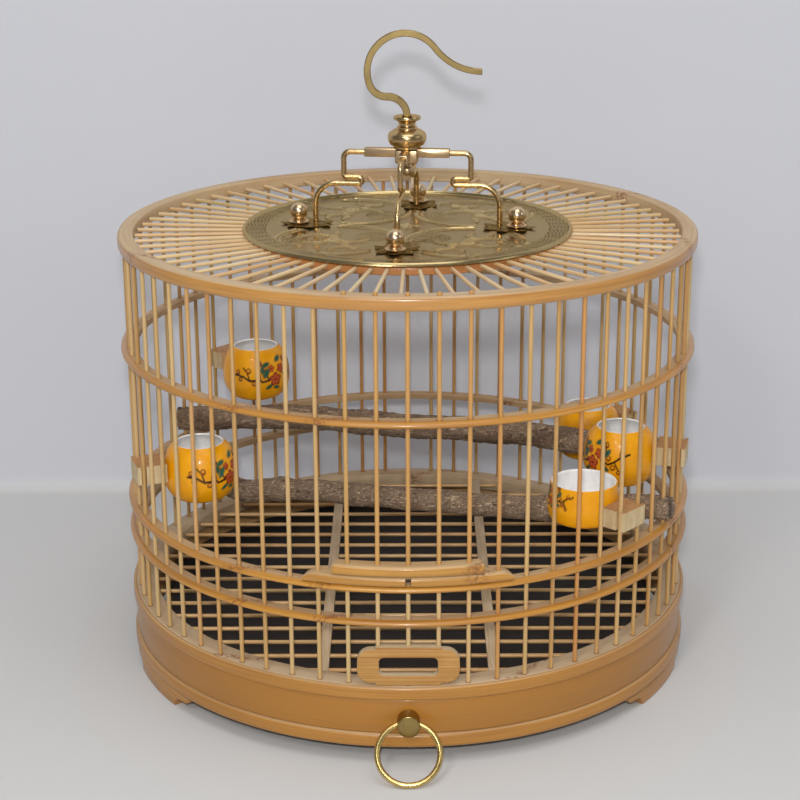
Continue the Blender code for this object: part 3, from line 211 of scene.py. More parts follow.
class Graph:
    """A material's node tree, with short ways to add what the finishes need."""

    def __init__(self, name: str) -> None:
        """Start an empty node material."""
        self.material = bpy.data.materials.new(name)
        self.material.use_nodes = True
        self.tree = self.material.node_tree
        self.tree.nodes.clear()

    def node(self, kind: str, settings: dict[str, Any] | None = None,
             inputs: dict[Any, Any] | None = None) -> bpy.types.Node:
        """Add one node.

        Args:
            kind: Blender's type name of the node.
            settings: Values of the node's own properties.
            inputs: Wires, sockets or constants by socket name or index.

        Returns:
            The new node.
        """
        made = self.tree.nodes.new(kind)
        for key, value in (settings or {}).items():
            setattr(made, key, value)
        for key, value in (inputs or {}).items():
            socket = made.inputs[key]
            if isinstance(value, Wire):
                self.tree.links.new(value.socket, socket)
            elif isinstance(value, bpy.types.NodeSocket):
                self.tree.links.new(value, socket)
            else:
                socket.default_value = value
        return made

    def take(self, kind: str, settings: dict[str, Any] | None = None,
             inputs: dict[Any, Any] | None = None, output: Any = 0) -> Wire:
        """Add one node as node() does, and return one of its outputs."""
        return Wire(self, self.node(kind, settings, inputs).outputs[output])

    def parts(self, vector: Wire) -> list[Wire]:
        """Return the three parts of a vector."""
        made = self.node("ShaderNodeSeparateXYZ", None, {0: vector})
        return [Wire(self, part) for part in made.outputs]

    def stretch(self, vector: Wire, shares: Sequence[float]) -> Wire:
        """Return a vector with each of its parts multiplied by a share."""
        return self.take("ShaderNodeVectorMath", {"operation": "MULTIPLY"}, {0: vector, 1: shares})

    def gather(self, x: Any, y: Any, z: Any) -> Wire:
        """Return a vector made of three values."""
        return self.take("ShaderNodeCombineXYZ", None, {0: x, 1: y, 2: z})

    def place(self) -> Place:
        """Return the object's own coordinates in millimetres."""
        metres = self.take("ShaderNodeTexCoord", output="Object")
        scaled = self.stretch(metres, (MILLIMETRES, MILLIMETRES, MILLIMETRES))
        return Place(scaled, *self.parts(scaled))

    def facing(self) -> list[Wire]:
        """Return the three parts of the surface's normal."""
        return self.parts(self.take("ShaderNodeNewGeometry", output="Normal"))

    def noise(self, vector: Wire, scale: float = 1.0, detail: float = 3.0, rough: float = 0.55,
              fourth: Wire | None = None) -> Wire:
        """Return soft noise from 0 to 1, of four dimensions where a fourth is given."""
        inputs: dict[Any, Any] = {"Vector": vector, "Scale": scale, "Detail": detail, "Roughness": rough}
        if fourth is None:
            return self.take("ShaderNodeTexNoise", {"noise_dimensions": "3D"}, inputs)
        return self.take("ShaderNodeTexNoise", {"noise_dimensions": "4D"}, {**inputs, "W": fourth})

    def cells(self, vector: Wire) -> Wire:
        """Return the distance to the nearest point of a random scatter."""
        inputs = {"Vector": vector, "Scale": 1.0}
        return self.take("ShaderNodeTexVoronoi", {"feature": "F1"}, inputs, "Distance")

    def lot(self, value: Wire) -> Wire:
        """Return an even random number for each whole value."""
        return self.take("ShaderNodeTexWhiteNoise", {"noise_dimensions": "1D"}, {"W": value}, "Value")

    def blend(self, share: Any, first: Wire | str, second: Wire | str) -> Wire:
        """Return a colour between two colours, given as wires or sRGB codes."""
        ends = [paint(colour) if isinstance(colour, str) else colour for colour in (first, second)]
        return self.take("ShaderNodeMix", {"data_type": "RGBA"}, {0: share, 6: ends[0], 7: ends[1]}, 2)

    def attribute(self, name: str, output: str = "Fac") -> Wire:
        """Return a mesh attribute's value, or its "Color" or "Alpha"."""
        return self.take("ShaderNodeAttribute", {"attribute_name": name}, output=output)

    def bump(self, height: Wire, distance: float, strength: float) -> Wire:
        """Return a normal for a relief whose height of 1 stands for the distance in metres."""
        inputs = {"Height": height, "Distance": distance, "Strength": strength}
        return self.take("ShaderNodeBump", None, inputs)

    def close(self, **inputs: Any) -> Finish:
        """Add the surface shader and the output.

        Args:
            inputs: Values or wires by the shader's socket names, with _ for a space.

        Returns:
            The finished material.
        """
        given = {key.replace("_", " "): value for key, value in inputs.items()}
        shader = self.node("ShaderNodeBsdfPrincipled", None, given)
        self.node("ShaderNodeOutputMaterial", None, {"Surface": shader.outputs[0]})
        return self.material


# Finishes


@dataclass(frozen=True)
class BambooFinish:
    """Split bamboo: a glossy honey skin, pale cut faces, and fibres that run one way."""

    name: str
    grain: Grain
    skin: str
    streak: str
    core: str
    core_streak: str
    gloss: float = 0.35
    roughness: float = 0.42
    pitch: float = 0.0
    phase: float = 0.0
    tone_share: float = 0.35
    warm: str = "c4803a"
    skin_from: float = 200.0
    bar_contact_shade: bool = False
    joints: tuple[float, ...] = ()
    fineness: float = 1.0

    def _cell(self, at: Place) -> tuple[Wire, Wire]:
        """Return the number of the bar, rod or spoke, and the distance across it."""
        if self.grain is Grain.ACROSS:
            cell = (at.y * (1.0 / self.pitch)).whole()
            return cell, at.y - cell * self.pitch
        share = (at.azimuth() - self.phase) * (1.0 / self.pitch)
        cell = share.whole()
        return cell, (share - cell) * at.radius() * math.radians(self.pitch)

    def _fibres(self, graph: Graph, at: Place, across: float, along: float, detail: float) -> Wire:
        """Return noise drawn out along the fibres.

        Args:
            graph: The material's tree.
            at: The shaded point.
            across: Noise scale across the fibres, per millimetre.
            along: Noise scale along the fibres, per millimetre.
            detail: Octaves of the noise.

        Returns:
            A value from 0 to 1.
        """
        if self.grain is Grain.ROUND:
            radius = at.radius()
            reach = BAR_CIRCLE * along
            round_way = graph.gather(at.x / radius * reach, at.y / radius * reach, radius * across)
            return graph.noise(round_way, 1.0, detail, fourth=at.z * across)
        if self.grain is Grain.RADIAL:
            cell, offset = self._cell(at)
            vector = graph.gather(at.radius() * along, offset * across + cell * 7.3, at.z * across)
        else:
            vector = graph.stretch(at.vector, self.grain.shares(across, along))
        return graph.noise(vector, 1.0, detail)

    def make(self) -> Finish:
        """Return the finish as a node material."""
        graph = Graph(self.name)
        at = graph.place()
        coarse = self._fibres(graph, at, 0.55 * self.fineness, 0.012, 3.0)
        fine = self._fibres(graph, at, 1.5 * self.fineness, 0.035, 2.0)
        cloud = self._fibres(graph, at, 0.08, 0.01, 2.0)
        east, north, up = graph.facing()
        cut = up.size().rise(0.45, 0.9)
        if self.grain is Grain.ROUND:
            inward = (east * at.x + north * at.y) / at.radius()
            cut = cut * at.radius().rise(self.skin_from + 0.6, self.skin_from - 0.2)
            cut = cut.most(inward.rise(-0.3, -0.8))
        streaks = coarse.rise(0.35, 0.75) * 0.65 + fine.rise(0.45, 0.8) * 0.35
        skin = graph.blend(streaks, self.skin, self.streak)
        core = graph.blend(streaks * 0.8, self.core, self.core_streak)
        colour = graph.blend(cut, skin, core)
        colour = graph.blend(cloud.rise(0.35, 0.7) * 0.35, colour, self.streak)
        if self.pitch > 0.0:
            cell = self._cell(at)[0]
            colour = graph.blend(graph.lot(cell).rise(0.45, 1.0) * self.tone_share, colour, self.warm)
            colour = graph.blend(graph.lot(cell + 0.37).rise(0.5, 1.0) * self.tone_share, colour, self.core)
            colour = graph.blend(graph.lot(cell + 0.61).rise(0.8, 1.0) * 0.25, colour, "b9a768")
        roughness = self.roughness + cut * 0.18 + (fine - 0.5) * 0.16
        # Painted shade: a dark brown ring round each bar where it passes through the piece's cut face.
        if self.bar_contact_shade:
            bar = at.azimuth() * (1.0 / BAR_PITCH)
            side = (bar - bar.whole()) * math.radians(BAR_PITCH) * BAR_CIRCLE
            away = (side * side + (at.radius() - BAR_CIRCLE) ** 2.0).root()
            contact_shade = away.rise(2.2, 1.6) * cut
            colour = graph.blend(contact_shade * (0.25 + 0.5 * coarse), colour, "7a4316")
        for azimuth in self.joints:
            gap = (at.azimuth() - azimuth) * math.radians(BAR_CIRCLE)
            slant = gap + (at.radius() - BAR_CIRCLE) * 2.2 + (coarse - 0.5) * 5.0
            ragged = slant.size().rise(9.0, 3.0) * graph.noise(at.vector, 0.45, 3.0, 0.6).rise(0.42, 0.62)
            colour = graph.blend(ragged * 0.75, colour, "8a5226")
            colour = graph.blend(slant.size().rise(0.5, 0.1) * 0.7, colour, "5e3a1c")
        height = coarse * 0.5 + fine * 0.5
        return graph.close(
            Base_Color=colour, Roughness=roughness, Coat_Weight=(1.0 - cut) * self.gloss,
            Coat_Roughness=0.16, Normal=graph.bump(height, 0.00012, 0.6),
        )


@dataclass(frozen=True)
class BrassFinish:
    """Brass, from polished to dull, with fine scratches and a breath of tarnish."""

    name: str
    metal: str
    tarnish: str
    tarnish_share: float = 0.3
    roughness: float = 0.24
    brush_scale: tuple[float, float, float] = (1.0, 1.0, 1.0)
    brush_depth: float = 0.00001

    def make(self) -> Finish:
        """Return the finish as a node material."""
        graph = Graph(self.name)
        at = graph.place()
        scratch = graph.noise(graph.stretch(at.vector, self.brush_scale), 1.6, 3.0, 0.7)
        cloud = graph.noise(at.vector, 0.16, 3.0, 0.6)
        spots = graph.noise(at.vector, 0.9, 2.0, 0.6)
        dull = (cloud.rise(0.42, 0.72) * 0.7 + spots.rise(0.58, 0.75) * 0.5) * self.tarnish_share
        colour = graph.blend(dull, self.metal, self.tarnish)
        roughness = self.roughness + (scratch - 0.5) * 0.18 + dull * 0.35
        return graph.close(
            Base_Color=colour, Metallic=1.0, Roughness=roughness, Specular_Tint=paint("f2e3c6"),
            Normal=graph.bump(scratch, self.brush_depth, 0.7),
        )


@dataclass(frozen=True)
class ReliefBrassFinish:
    """Pressed brass that is darkened in its hollows and rubbed bright on its high places."""

    name: str
    bright: str = "dcc590"
    middle: str = "aa9468"
    dark: str = "2e2416"

    def make(self) -> Finish:
        """Return the finish as a node material, which reads the mesh's "relief" attribute."""
        graph = Graph(self.name)
        at = graph.place()
        relief = graph.attribute("relief")
        grime = graph.noise(at.vector, 0.35, 4.0, 0.65)
        grain = graph.noise(at.vector, 1.3, 2.0, 0.6)
        level = relief + (grime - 0.5) * 0.12
        colour = graph.blend(level.rise(0.05, 0.36), self.dark, self.middle)
        colour = graph.blend(level.rise(0.5, 0.95), colour, self.bright)
        dash = (at.azimuth() * (math.tau / 1.15)).wave()
        group = (at.azimuth() * (math.tau / 15.0)).wave().rise(-0.55, -0.4)
        ring = at.radius().rise(90.6, 91.2) * at.radius().rise(98.4, 97.8)
        fore = (at.y / at.radius()).size().rise(0.62, 0.78)
        marks = dash.rise(0.0, 0.5) * group * ring * fore * 0.85
        colour = graph.blend(marks, colour, self.dark)
        bare = level.rise(0.02, 0.3) * (1.0 - marks)
        roughness = 0.22 + (1.0 - bare) * 0.35 + (grain - 0.5) * 0.08 + (grime - 0.5) * 0.1
        return graph.close(
            Base_Color=colour, Metallic=bare * 0.95, Roughness=roughness, Specular_Tint=paint("f3e6cf"),
            Normal=graph.bump(grime, 0.00008, 0.4),
        )


@dataclass(frozen=True)
class GlazeFinish:
    """Yellow glaze with a painted branch, which the mesh's "motif" attribute carries."""

    name: str
    glaze: str = "f4a906"
    deep: str = "ee9f04"

    def make(self) -> Finish:
        """Return the finish as a node material."""
        graph = Graph(self.name)
        at = graph.place()
        cloud = graph.noise(at.vector, 0.12, 3.0, 0.55)
        speck = graph.noise(at.vector, 1.6, 2.0, 0.5)
        colour = graph.blend(cloud.rise(0.35, 0.7), self.glaze, self.deep)
        colour = graph.blend(speck.rise(0.7, 0.76) * 0.2, colour, "c07010")
        colour = graph.blend(graph.attribute("motif", "Alpha"), colour, graph.attribute("motif", "Color"))
        height = graph.noise(at.vector, 0.22, 2.0, 0.5)
        return graph.close(
            Base_Color=colour, Roughness=0.34 + speck * 0.08, Specular_IOR_Level=0.3, Coat_Weight=0.3,
            Coat_Roughness=0.06, Normal=graph.bump(height, 0.0003, 0.4),
        )


@dataclass(frozen=True)
class WhiteGlazeFinish:
    """Clear white glaze of the cups' insides, rims and feet."""

    name: str

    def make(self) -> Finish:
        """Return the finish as a node material."""
        graph = Graph(self.name)
        at = graph.place()
        cloud = graph.noise(at.vector, 0.18, 3.0, 0.55)
        colour = graph.blend(cloud.rise(0.35, 0.7), "fdfbf8", "f5f2ee")
        height = graph.noise(at.vector, 0.3, 2.0, 0.5)
        return graph.close(
            Base_Color=colour, Roughness=0.3 + cloud * 0.08, Coat_Weight=0.5, Coat_Roughness=0.08,
            Normal=graph.bump(height, 0.0003, 0.4),
        )


@dataclass(frozen=True)
class BarkFinish:
    """Grey-brown bark with warm patches, bare rubbed ridges and dark furrows, with painted shade where the
    carved bark lies deep.
    """

    name: str

    def make(self) -> Finish:
        """Return the finish as a node material, which reads "depth" and "bare" attributes."""
        graph = Graph(self.name)
        at = graph.place()
        depth = graph.attribute("depth")
        bare = graph.attribute("bare")
        patch = graph.noise(at.vector, 0.07, 3.0, 0.6)
        long = graph.noise(graph.stretch(at.vector, (0.16, 0.9, 0.9)), 1.0, 5.0, 0.7)
        ridge = (long - 0.5).size().rise(0.0, 0.09)
        scale = graph.cells(graph.stretch(at.vector, (0.22, 0.55, 0.55)))
        grit = graph.noise(graph.stretch(at.vector, (0.4, 1.5, 1.5)), 1.0, 3.0, 0.7)
        colour = graph.blend(long.rise(0.3, 0.7), "9c7e60", "cbad8c")
        colour = graph.blend(patch.rise(0.46, 0.66) * 0.5, colour, "a07c66")
        colour = graph.blend(scale.rise(0.6, 0.9) * 0.35, colour, "54433a")
        colour = graph.blend(grit.rise(0.5, 0.64) * (0.35 + 0.5 * ridge), colour, "d6c1a8")
        colour = graph.blend((1.0 - ridge) * 0.55, colour, "40322a")
        # Painted shade: darker where the carved surface lies deep in its furrows.
        colour = graph.blend(depth.rise(0.3, 0.05) * 0.5, colour, "33271f")
        wood = graph.blend(long.rise(0.3, 0.7), "8a6d50", "4b382a")
        colour = graph.blend(bare, colour, wood)
        height = ridge * 0.5 + grit * 0.25 + scale.rise(0.9, 0.3) * 0.25
        return graph.close(Base_Color=colour, Roughness=0.88, Normal=graph.bump(height, 0.0008, 0.85))


@dataclass(frozen=True)
class BoardFinish:
    """Striped or dark board, with its grain along one axis and its cut ends paler."""

    name: str
    face: str
    stripe: str
    ends: str
    ends_stripe: str
    grain: Grain
    across: float = 0.6
    along: float = 0.02
    roughness: float = 0.5
    line: str = ""

    def make(self) -> Finish:
        """Return the finish as a node material."""
        graph = Graph(self.name)
        at = graph.place()
        vector = graph.stretch(at.vector, self.grain.shares(self.across, self.along))
        coarse = graph.noise(vector, 1.0, 4.0, 0.6)
        fine = graph.noise(vector, 2.7, 2.0, 0.6)
        cloud = graph.noise(at.vector, 0.05, 2.0, 0.5)
        stripes = coarse.rise(0.38, 0.66) * 0.7 + fine.rise(0.45, 0.75) * 0.3
        parts = graph.facing()
        end = {Grain.UP: parts[2], Grain.ACROSS: parts[0], Grain.ALONG: parts[1]}[self.grain]
        colour = graph.blend(stripes, self.face, self.stripe)
        pale = graph.blend(stripes, self.ends, self.ends_stripe)
        colour = graph.blend(cloud.rise(0.4, 0.7) * 0.3, colour, self.stripe)
        if self.line:
            level = at.z * 0.36 + graph.noise(vector, 0.5, 2.0, 0.5) * 2.4
            rings = (level - level.whole()).size()
            colour = graph.blend(rings.rise(0.11, 0.03) * (0.35 + 0.5 * fine), colour, self.line)
            end = 1.0 - parts[1].size()
        colour = graph.blend(end.size().rise(0.5, 0.9), colour, pale)
        return graph.close(
            Base_Color=colour, Roughness=self.roughness + (fine - 0.5) * 0.15,
            Normal=graph.bump(coarse * 0.5 + fine * 0.5, 0.0002, 0.6),
        )


# Modelling


def release() -> None:
    """Leave edit mode and select nothing."""
    held = bpy.context.view_layer.objects.active
    if held is not None and held.mode != "OBJECT":
        bpy.ops.object.mode_set(mode="OBJECT")
    bpy.ops.object.select_all(action="DESELECT")


def hold(item: Piece) -> Piece:
    """Select one object alone and make it the active one."""
    release()
    item.select_set(True)
    bpy.context.view_layer.objects.active = item
    return item


def settle(name: str) -> Piece:
    """Name the newest object and put its place, turn and size into its mesh."""
    item = hold(bpy.context.object)
    item.name = item.data.name = name
    bpy.ops.object.transform_apply(location=True, rotation=True, scale=True)
    return item


def work_on(item: Piece, kind: str) -> None:
    """Enter edit mode on one object with its whole mesh selected, as "VERT", "EDGE" or "FACE"."""
    hold(item)
    bpy.ops.object.mode_set(mode="EDIT")
    bpy.ops.mesh.select_mode(type=kind)
    select_all()


def select_all() -> None:
    """Select the whole mesh in edit mode."""
    bpy.ops.mesh.select_all(action="SELECT")


def extrude(*move: float) -> None:
    """Extrude the selected part of the mesh by a vector."""
    bpy.ops.mesh.extrude_region_move(TRANSFORM_OT_translate={"value": move})


def choose(item: Piece, parts: str, test: Callable[[Any], bool]) -> None:
    """Select parts of the mesh in edit mode.

    Args:
        item: The object in edit mode.
        parts: "verts", "edges" or "faces".
        test: Says which of them are selected.
    """
    bpy.ops.mesh.select_all(action="DESELECT")
    mesh = bmesh.from_edit_mesh(item.data)
    for part in getattr(mesh, parts):
        part.select_set(bool(test(part)))
    bmesh.update_edit_mesh(item.data)


def close_up(item: Piece) -> Piece:
    """Merge doubles, turn all faces outwards and leave edit mode."""
    select_all()
    bpy.ops.mesh.remove_doubles(threshold=DOUBLES)
    bpy.ops.mesh.normals_make_consistent(inside=False)
    bpy.ops.object.mode_set(mode="OBJECT")
    return item


def trace(name: str, points: Sequence[Vector], closed: bool = True) -> Piece:
    """Draw an outline by extruding one vertex from point to point.

    Args:
        name: The new object's name.
        points: The outline's corners.
        closed: Whether the last corner is joined to the first.

    Returns:
        The object, in edit mode.
    """
    release()
    bpy.ops.mesh.primitive_plane_add(size=0.001, location=points[0])
    item = settle(name)
    work_on(item, "VERT")
    bpy.ops.mesh.merge(type="CENTER")
    for before, after in zip(points, points[1:]):
        extrude(*(after - before))
    if closed:
        choose(item, "verts", lambda vert: len(vert.link_edges) == 1)
        bpy.ops.mesh.edge_face_add()
    return item


def slab(name: str, outline: Sequence[Vector], *move: float) -> Piece:
    """Trace a flat outline, fill it and extrude it by a vector, and stay in edit mode on its far face."""
    item = trace(name, outline)
    select_all()
    bpy.ops.mesh.edge_face_add()
    bpy.ops.mesh.select_mode(type="FACE")
    extrude(*move)
    return item


def spin_round(item: Piece, steps: int, span: float = 360.0,
               centre: Sequence[float] = (0.0, 0.0, 0.0)) -> Piece:
    """Sweep the traced outline about an upright axis, towards larger azimuths.

    Args:
        item: The object in edit mode.
        steps: Steps of the sweep.
        span: Angle of the sweep in degrees; less than a turn is capped at both ends.
        centre: A point of the axis.

    Returns:
        The closed object, in object mode.
    """
    select_all()
    bpy.ops.mesh.spin(steps=steps, angle=-math.radians(span), center=centre, axis=(0.0, 0.0, 1.0))
    select_all()
    bpy.ops.mesh.remove_doubles(threshold=DOUBLES)
    if span < 360.0:
        select_all()
        bpy.ops.mesh.fill_holes(sides=0)
    return close_up(item)


def apply_modifier(item: Piece, kind: str, **settings: Any) -> Piece:
    """Add one modifier and apply it at once."""
    hold(item)
    modifier = item.modifiers.new(kind.lower(), kind)
    for key, value in settings.items():
        setattr(modifier, key, value)
    bpy.ops.object.modifier_apply(modifier=modifier.name)
    return item


def soften(item: Piece, width: float, segments: int = 2, angle: float = 30.0) -> Piece:
    """Round all edges sharper than an angle in degrees."""
    return apply_modifier(
        item, "BEVEL", width=width, segments=segments, limit_method="ANGLE",
        angle_limit=math.radians(angle), use_clamp_overlap=True, harden_normals=False,
    )


def combine(item: Piece, tool: Piece, operation: str = "DIFFERENCE") -> Piece:
    """Cut a tool out of an object, or fuse it to it with "UNION", and remove the tool."""
    apply_modifier(item, "BOOLEAN", operation=operation, solver="EXACT", object=tool)
    bpy.data.objects.remove(tool, do_unlink=True)
    return item


def mould(item: Piece, move: Callable[[Vector], Vector]) -> Piece:
    """Move every vertex to where a rule sends it."""
    for vertex in item.data.vertices:
        vertex.co = move(vertex.co.copy())
    item.data.update()
    return item


def shift(item: Piece, *moves: Matrix) -> Piece:
    """Turn or move a piece's mesh, one matrix after the other."""
    for move in moves:
        item.data.transform(move)
    return item


def swing(azimuth: float) -> Matrix:
    """Return the turn about the cage's axis from the front to an azimuth in degrees."""
    return Matrix.Rotation(math.radians(azimuth), 4, "Z")


def vertex_places(item: Piece) -> np.ndarray:
    """Return the places of a piece's vertices as rows."""
    places = np.empty(len(item.data.vertices) * 3)
    item.data.vertices.foreach_get("co", places)
    return places.reshape(-1, 3)


def note(item: Piece, name: str, values: np.ndarray) -> None:
    """Store a value, or a row of a colour and its cover, for each vertex as a mesh attribute."""
    kind, key = ("FLOAT", "value") if values.ndim == 1 else ("FLOAT_COLOR", "color")
    layer = item.data.attributes.new(name, kind, "POINT")
    layer.data.foreach_set(key, values.astype(np.float32).ravel())


def stamp(pattern: Piece, name: str, places: Iterable[Matrix]) -> Piece:
    """Copy a modelled piece to several places and join the copies.

    Args:
        pattern: The piece to copy; it is removed afterwards.
        name: Name of the joined object.
        places: Where each copy goes.

    Returns:
        The joined object.
    """
    copies = []
    for place in places:
        mesh = pattern.data.copy()
        mesh.transform(place)
        copy = bpy.data.objects.new(name, mesh)
        bpy.context.collection.objects.link(copy)
        copies.append(copy)
    bpy.data.objects.remove(pattern, do_unlink=True)
    return join(name, copies)


def join(name: str, items: Sequence[Piece]) -> Piece:
    """Join several objects into the first one."""
    release()
    for item in items:
        item.select_set(True)
    bpy.context.view_layer.objects.active = items[0]
    if len(items) > 1:
        bpy.ops.object.join()
    joined = bpy.context.view_layer.objects.active
    joined.name = joined.data.name = name
    release()
    return joined


def rod(name: str, radius: float, start: Vector, end: Vector, sides: int = 12, cuts: int = 0) -> Piece:
    """Model a round rod between two points.

    Args:
        name: The object's name.
        radius: The rod's radius.
        start: Centre of one end.
        end: Centre of the other end.
        sides: Faces round the rod.
        cuts: Rings of edges between the ends.

    Returns:
        The finished rod.
    """
    release()
    run = end - start
    bpy.ops.mesh.primitive_cylinder_add(
        vertices=sides, radius=radius, depth=run.length, location=(start + end) / 2,
        rotation=run.to_track_quat("Z", "X").to_euler(),
    )
    item = settle(name)
    if cuts:
        work_on(item, "EDGE")
        length = run.length * 0.9
        choose(item, "edges", lambda edge: edge.calc_length() > length)
        bpy.ops.mesh.subdivide(number_cuts=cuts)
        bpy.ops.object.mode_set(mode="OBJECT")
    return item


def block(name: str, low: Sequence[float], high: Sequence[float], rounding: float = 0.0,
          segments: int = 2) -> Piece:
    """Model a box between two corners, with rounded edges."""
    release()
    centre = [(a + b) / 2 for a, b in zip(low, high)]
    bpy.ops.mesh.primitive_cube_add(size=1.0, location=centre, scale=[b - a for a, b in zip(low, high)])
    item = settle(name)
    if rounding > 0.0:
        soften(item, rounding, segments)
    return item


def arc(centre: Point, reach: Point, first: float, last: float, steps: int) -> list[Point]:
    """Return points of an ellipse's arc from one angle to another, in degrees."""
    angles = [math.radians(first + (last - first) * step / steps) for step in range(steps + 1)]
    return [(centre[0] + reach[0] * math.cos(a), centre[1] + reach[1] * math.sin(a)) for a in angles]


def rounded_box(inner: float, outer: float, low: float, high: float, outer_round: float,
                inner_round: float, steps: int = 4, outer_reach: float | None = None) -> list[Point]:
    """Return a hoop's section as radius and height, with rounded corners.

    Args:
        inner: Inner radius of the hoop.
        outer: Outer radius of the hoop.
        low: Height of its underside.
        high: Height of its top.
        outer_round: Height of the outer corners' rounding.
        inner_round: Rounding of the inner corners.
        steps: Steps of each corner.
        outer_reach: Width of the outer corners' rounding, where it isn't their height.

    Returns:
        The section's points.
    """
    reach = outer_round if outer_reach is None else outer_reach
    corners = (
        (inner, low, inner_round, inner_round, 180.0), (outer, low, reach, outer_round, 270.0),
        (outer, high, reach, outer_round, 0.0), (inner, high, inner_round, inner_round, 90.0),
    )
    section = []
    for x, z, across, up, first in corners:
        centre = (x + (across if x == inner else -across), z + (up if z == low else -up))
        section += arc(centre, (across, up), first, first + 90.0, steps)
    return section


def smooth_profile(points: Sequence[Point], steps: int) -> list[Point]:
    """Return a smooth open line through points, as a Catmull-Rom spline.

    Args:
        points: The points that the line passes.
        steps: Steps from one point to the next.

    Returns:
        The line's points.
    """
    padded = [points[0], *points, points[-1]]
    line = []
    for before, start, end, after in zip(padded, padded[1:], padded[2:], padded[3:]):
        for step in range(steps):
            t = step / steps
            weights = (
                (-t + 2 * t * t - t ** 3) / 2, (2 - 5 * t * t + 3 * t ** 3) / 2,
                (t + 4 * t * t - 3 * t ** 3) / 2, (t ** 3 - t * t) / 2,
            )
            line.append(tuple(
                sum(weight * point[axis] for weight, point in zip(weights, (before, start, end, after)))
                for axis in range(2)
            ))
    line.append(tuple(points[-1]))
    return line


def hoop(name: str, section: Sequence[Point], steps: int = 192, start: float = 0.0,
         span: float = 360.0) -> Piece:
    """Sweep a section of radius and height round the cage's axis."""
    outline = [polar(radius, start, height) for radius, height in section]
    return spin_round(trace(name, outline), steps, span)


def turned(name: str, profile: Sequence[Point], centre: Sequence[float], steps: int = 48) -> Piece:
    """Turn an open profile of radius and height about an upright axis through a point."""
    outline = [Vector((centre[0] + radius, centre[1], height)) for radius, height in profile]
    return spin_round(trace(name, outline, closed=False), steps, 360.0, (centre[0], centre[1], 0.0))


def dress(item: Piece, *materials: Finish, smooth: float = 32.0) -> Piece:
    """Give a piece its materials and shade it smooth below an angle in degrees."""
    item.data.materials.clear()
    for material in materials:
        item.data.materials.append(material)
    hold(item)
    bpy.ops.object.shade_smooth_by_angle(angle=math.radians(smooth))
    release()
    return item


def enter(item: Piece, body: Body, slot: str, *nodes: str) -> None:
    """Attach a finished piece to its body and hide the CAD nodes that it stands for.

    Args:
        item: The finished piece.
        body: The body that it rides on.
        slot: Not used.
        nodes: The CAD nodes that it stands for.
    """
    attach(item, body.value)
    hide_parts(*nodes)
    LOG.info("%s rides on %s with %d faces", item.name, body.value, len(item.data.polygons))


def recolour(node: Piece, material: Finish) -> None:
    """Give a carried-over CAD node one material in every slot."""
    for slot in node.material_slots:
        slot.material = material
    if not node.material_slots:
        node.data.materials.append(material)


# Sub-assemblies


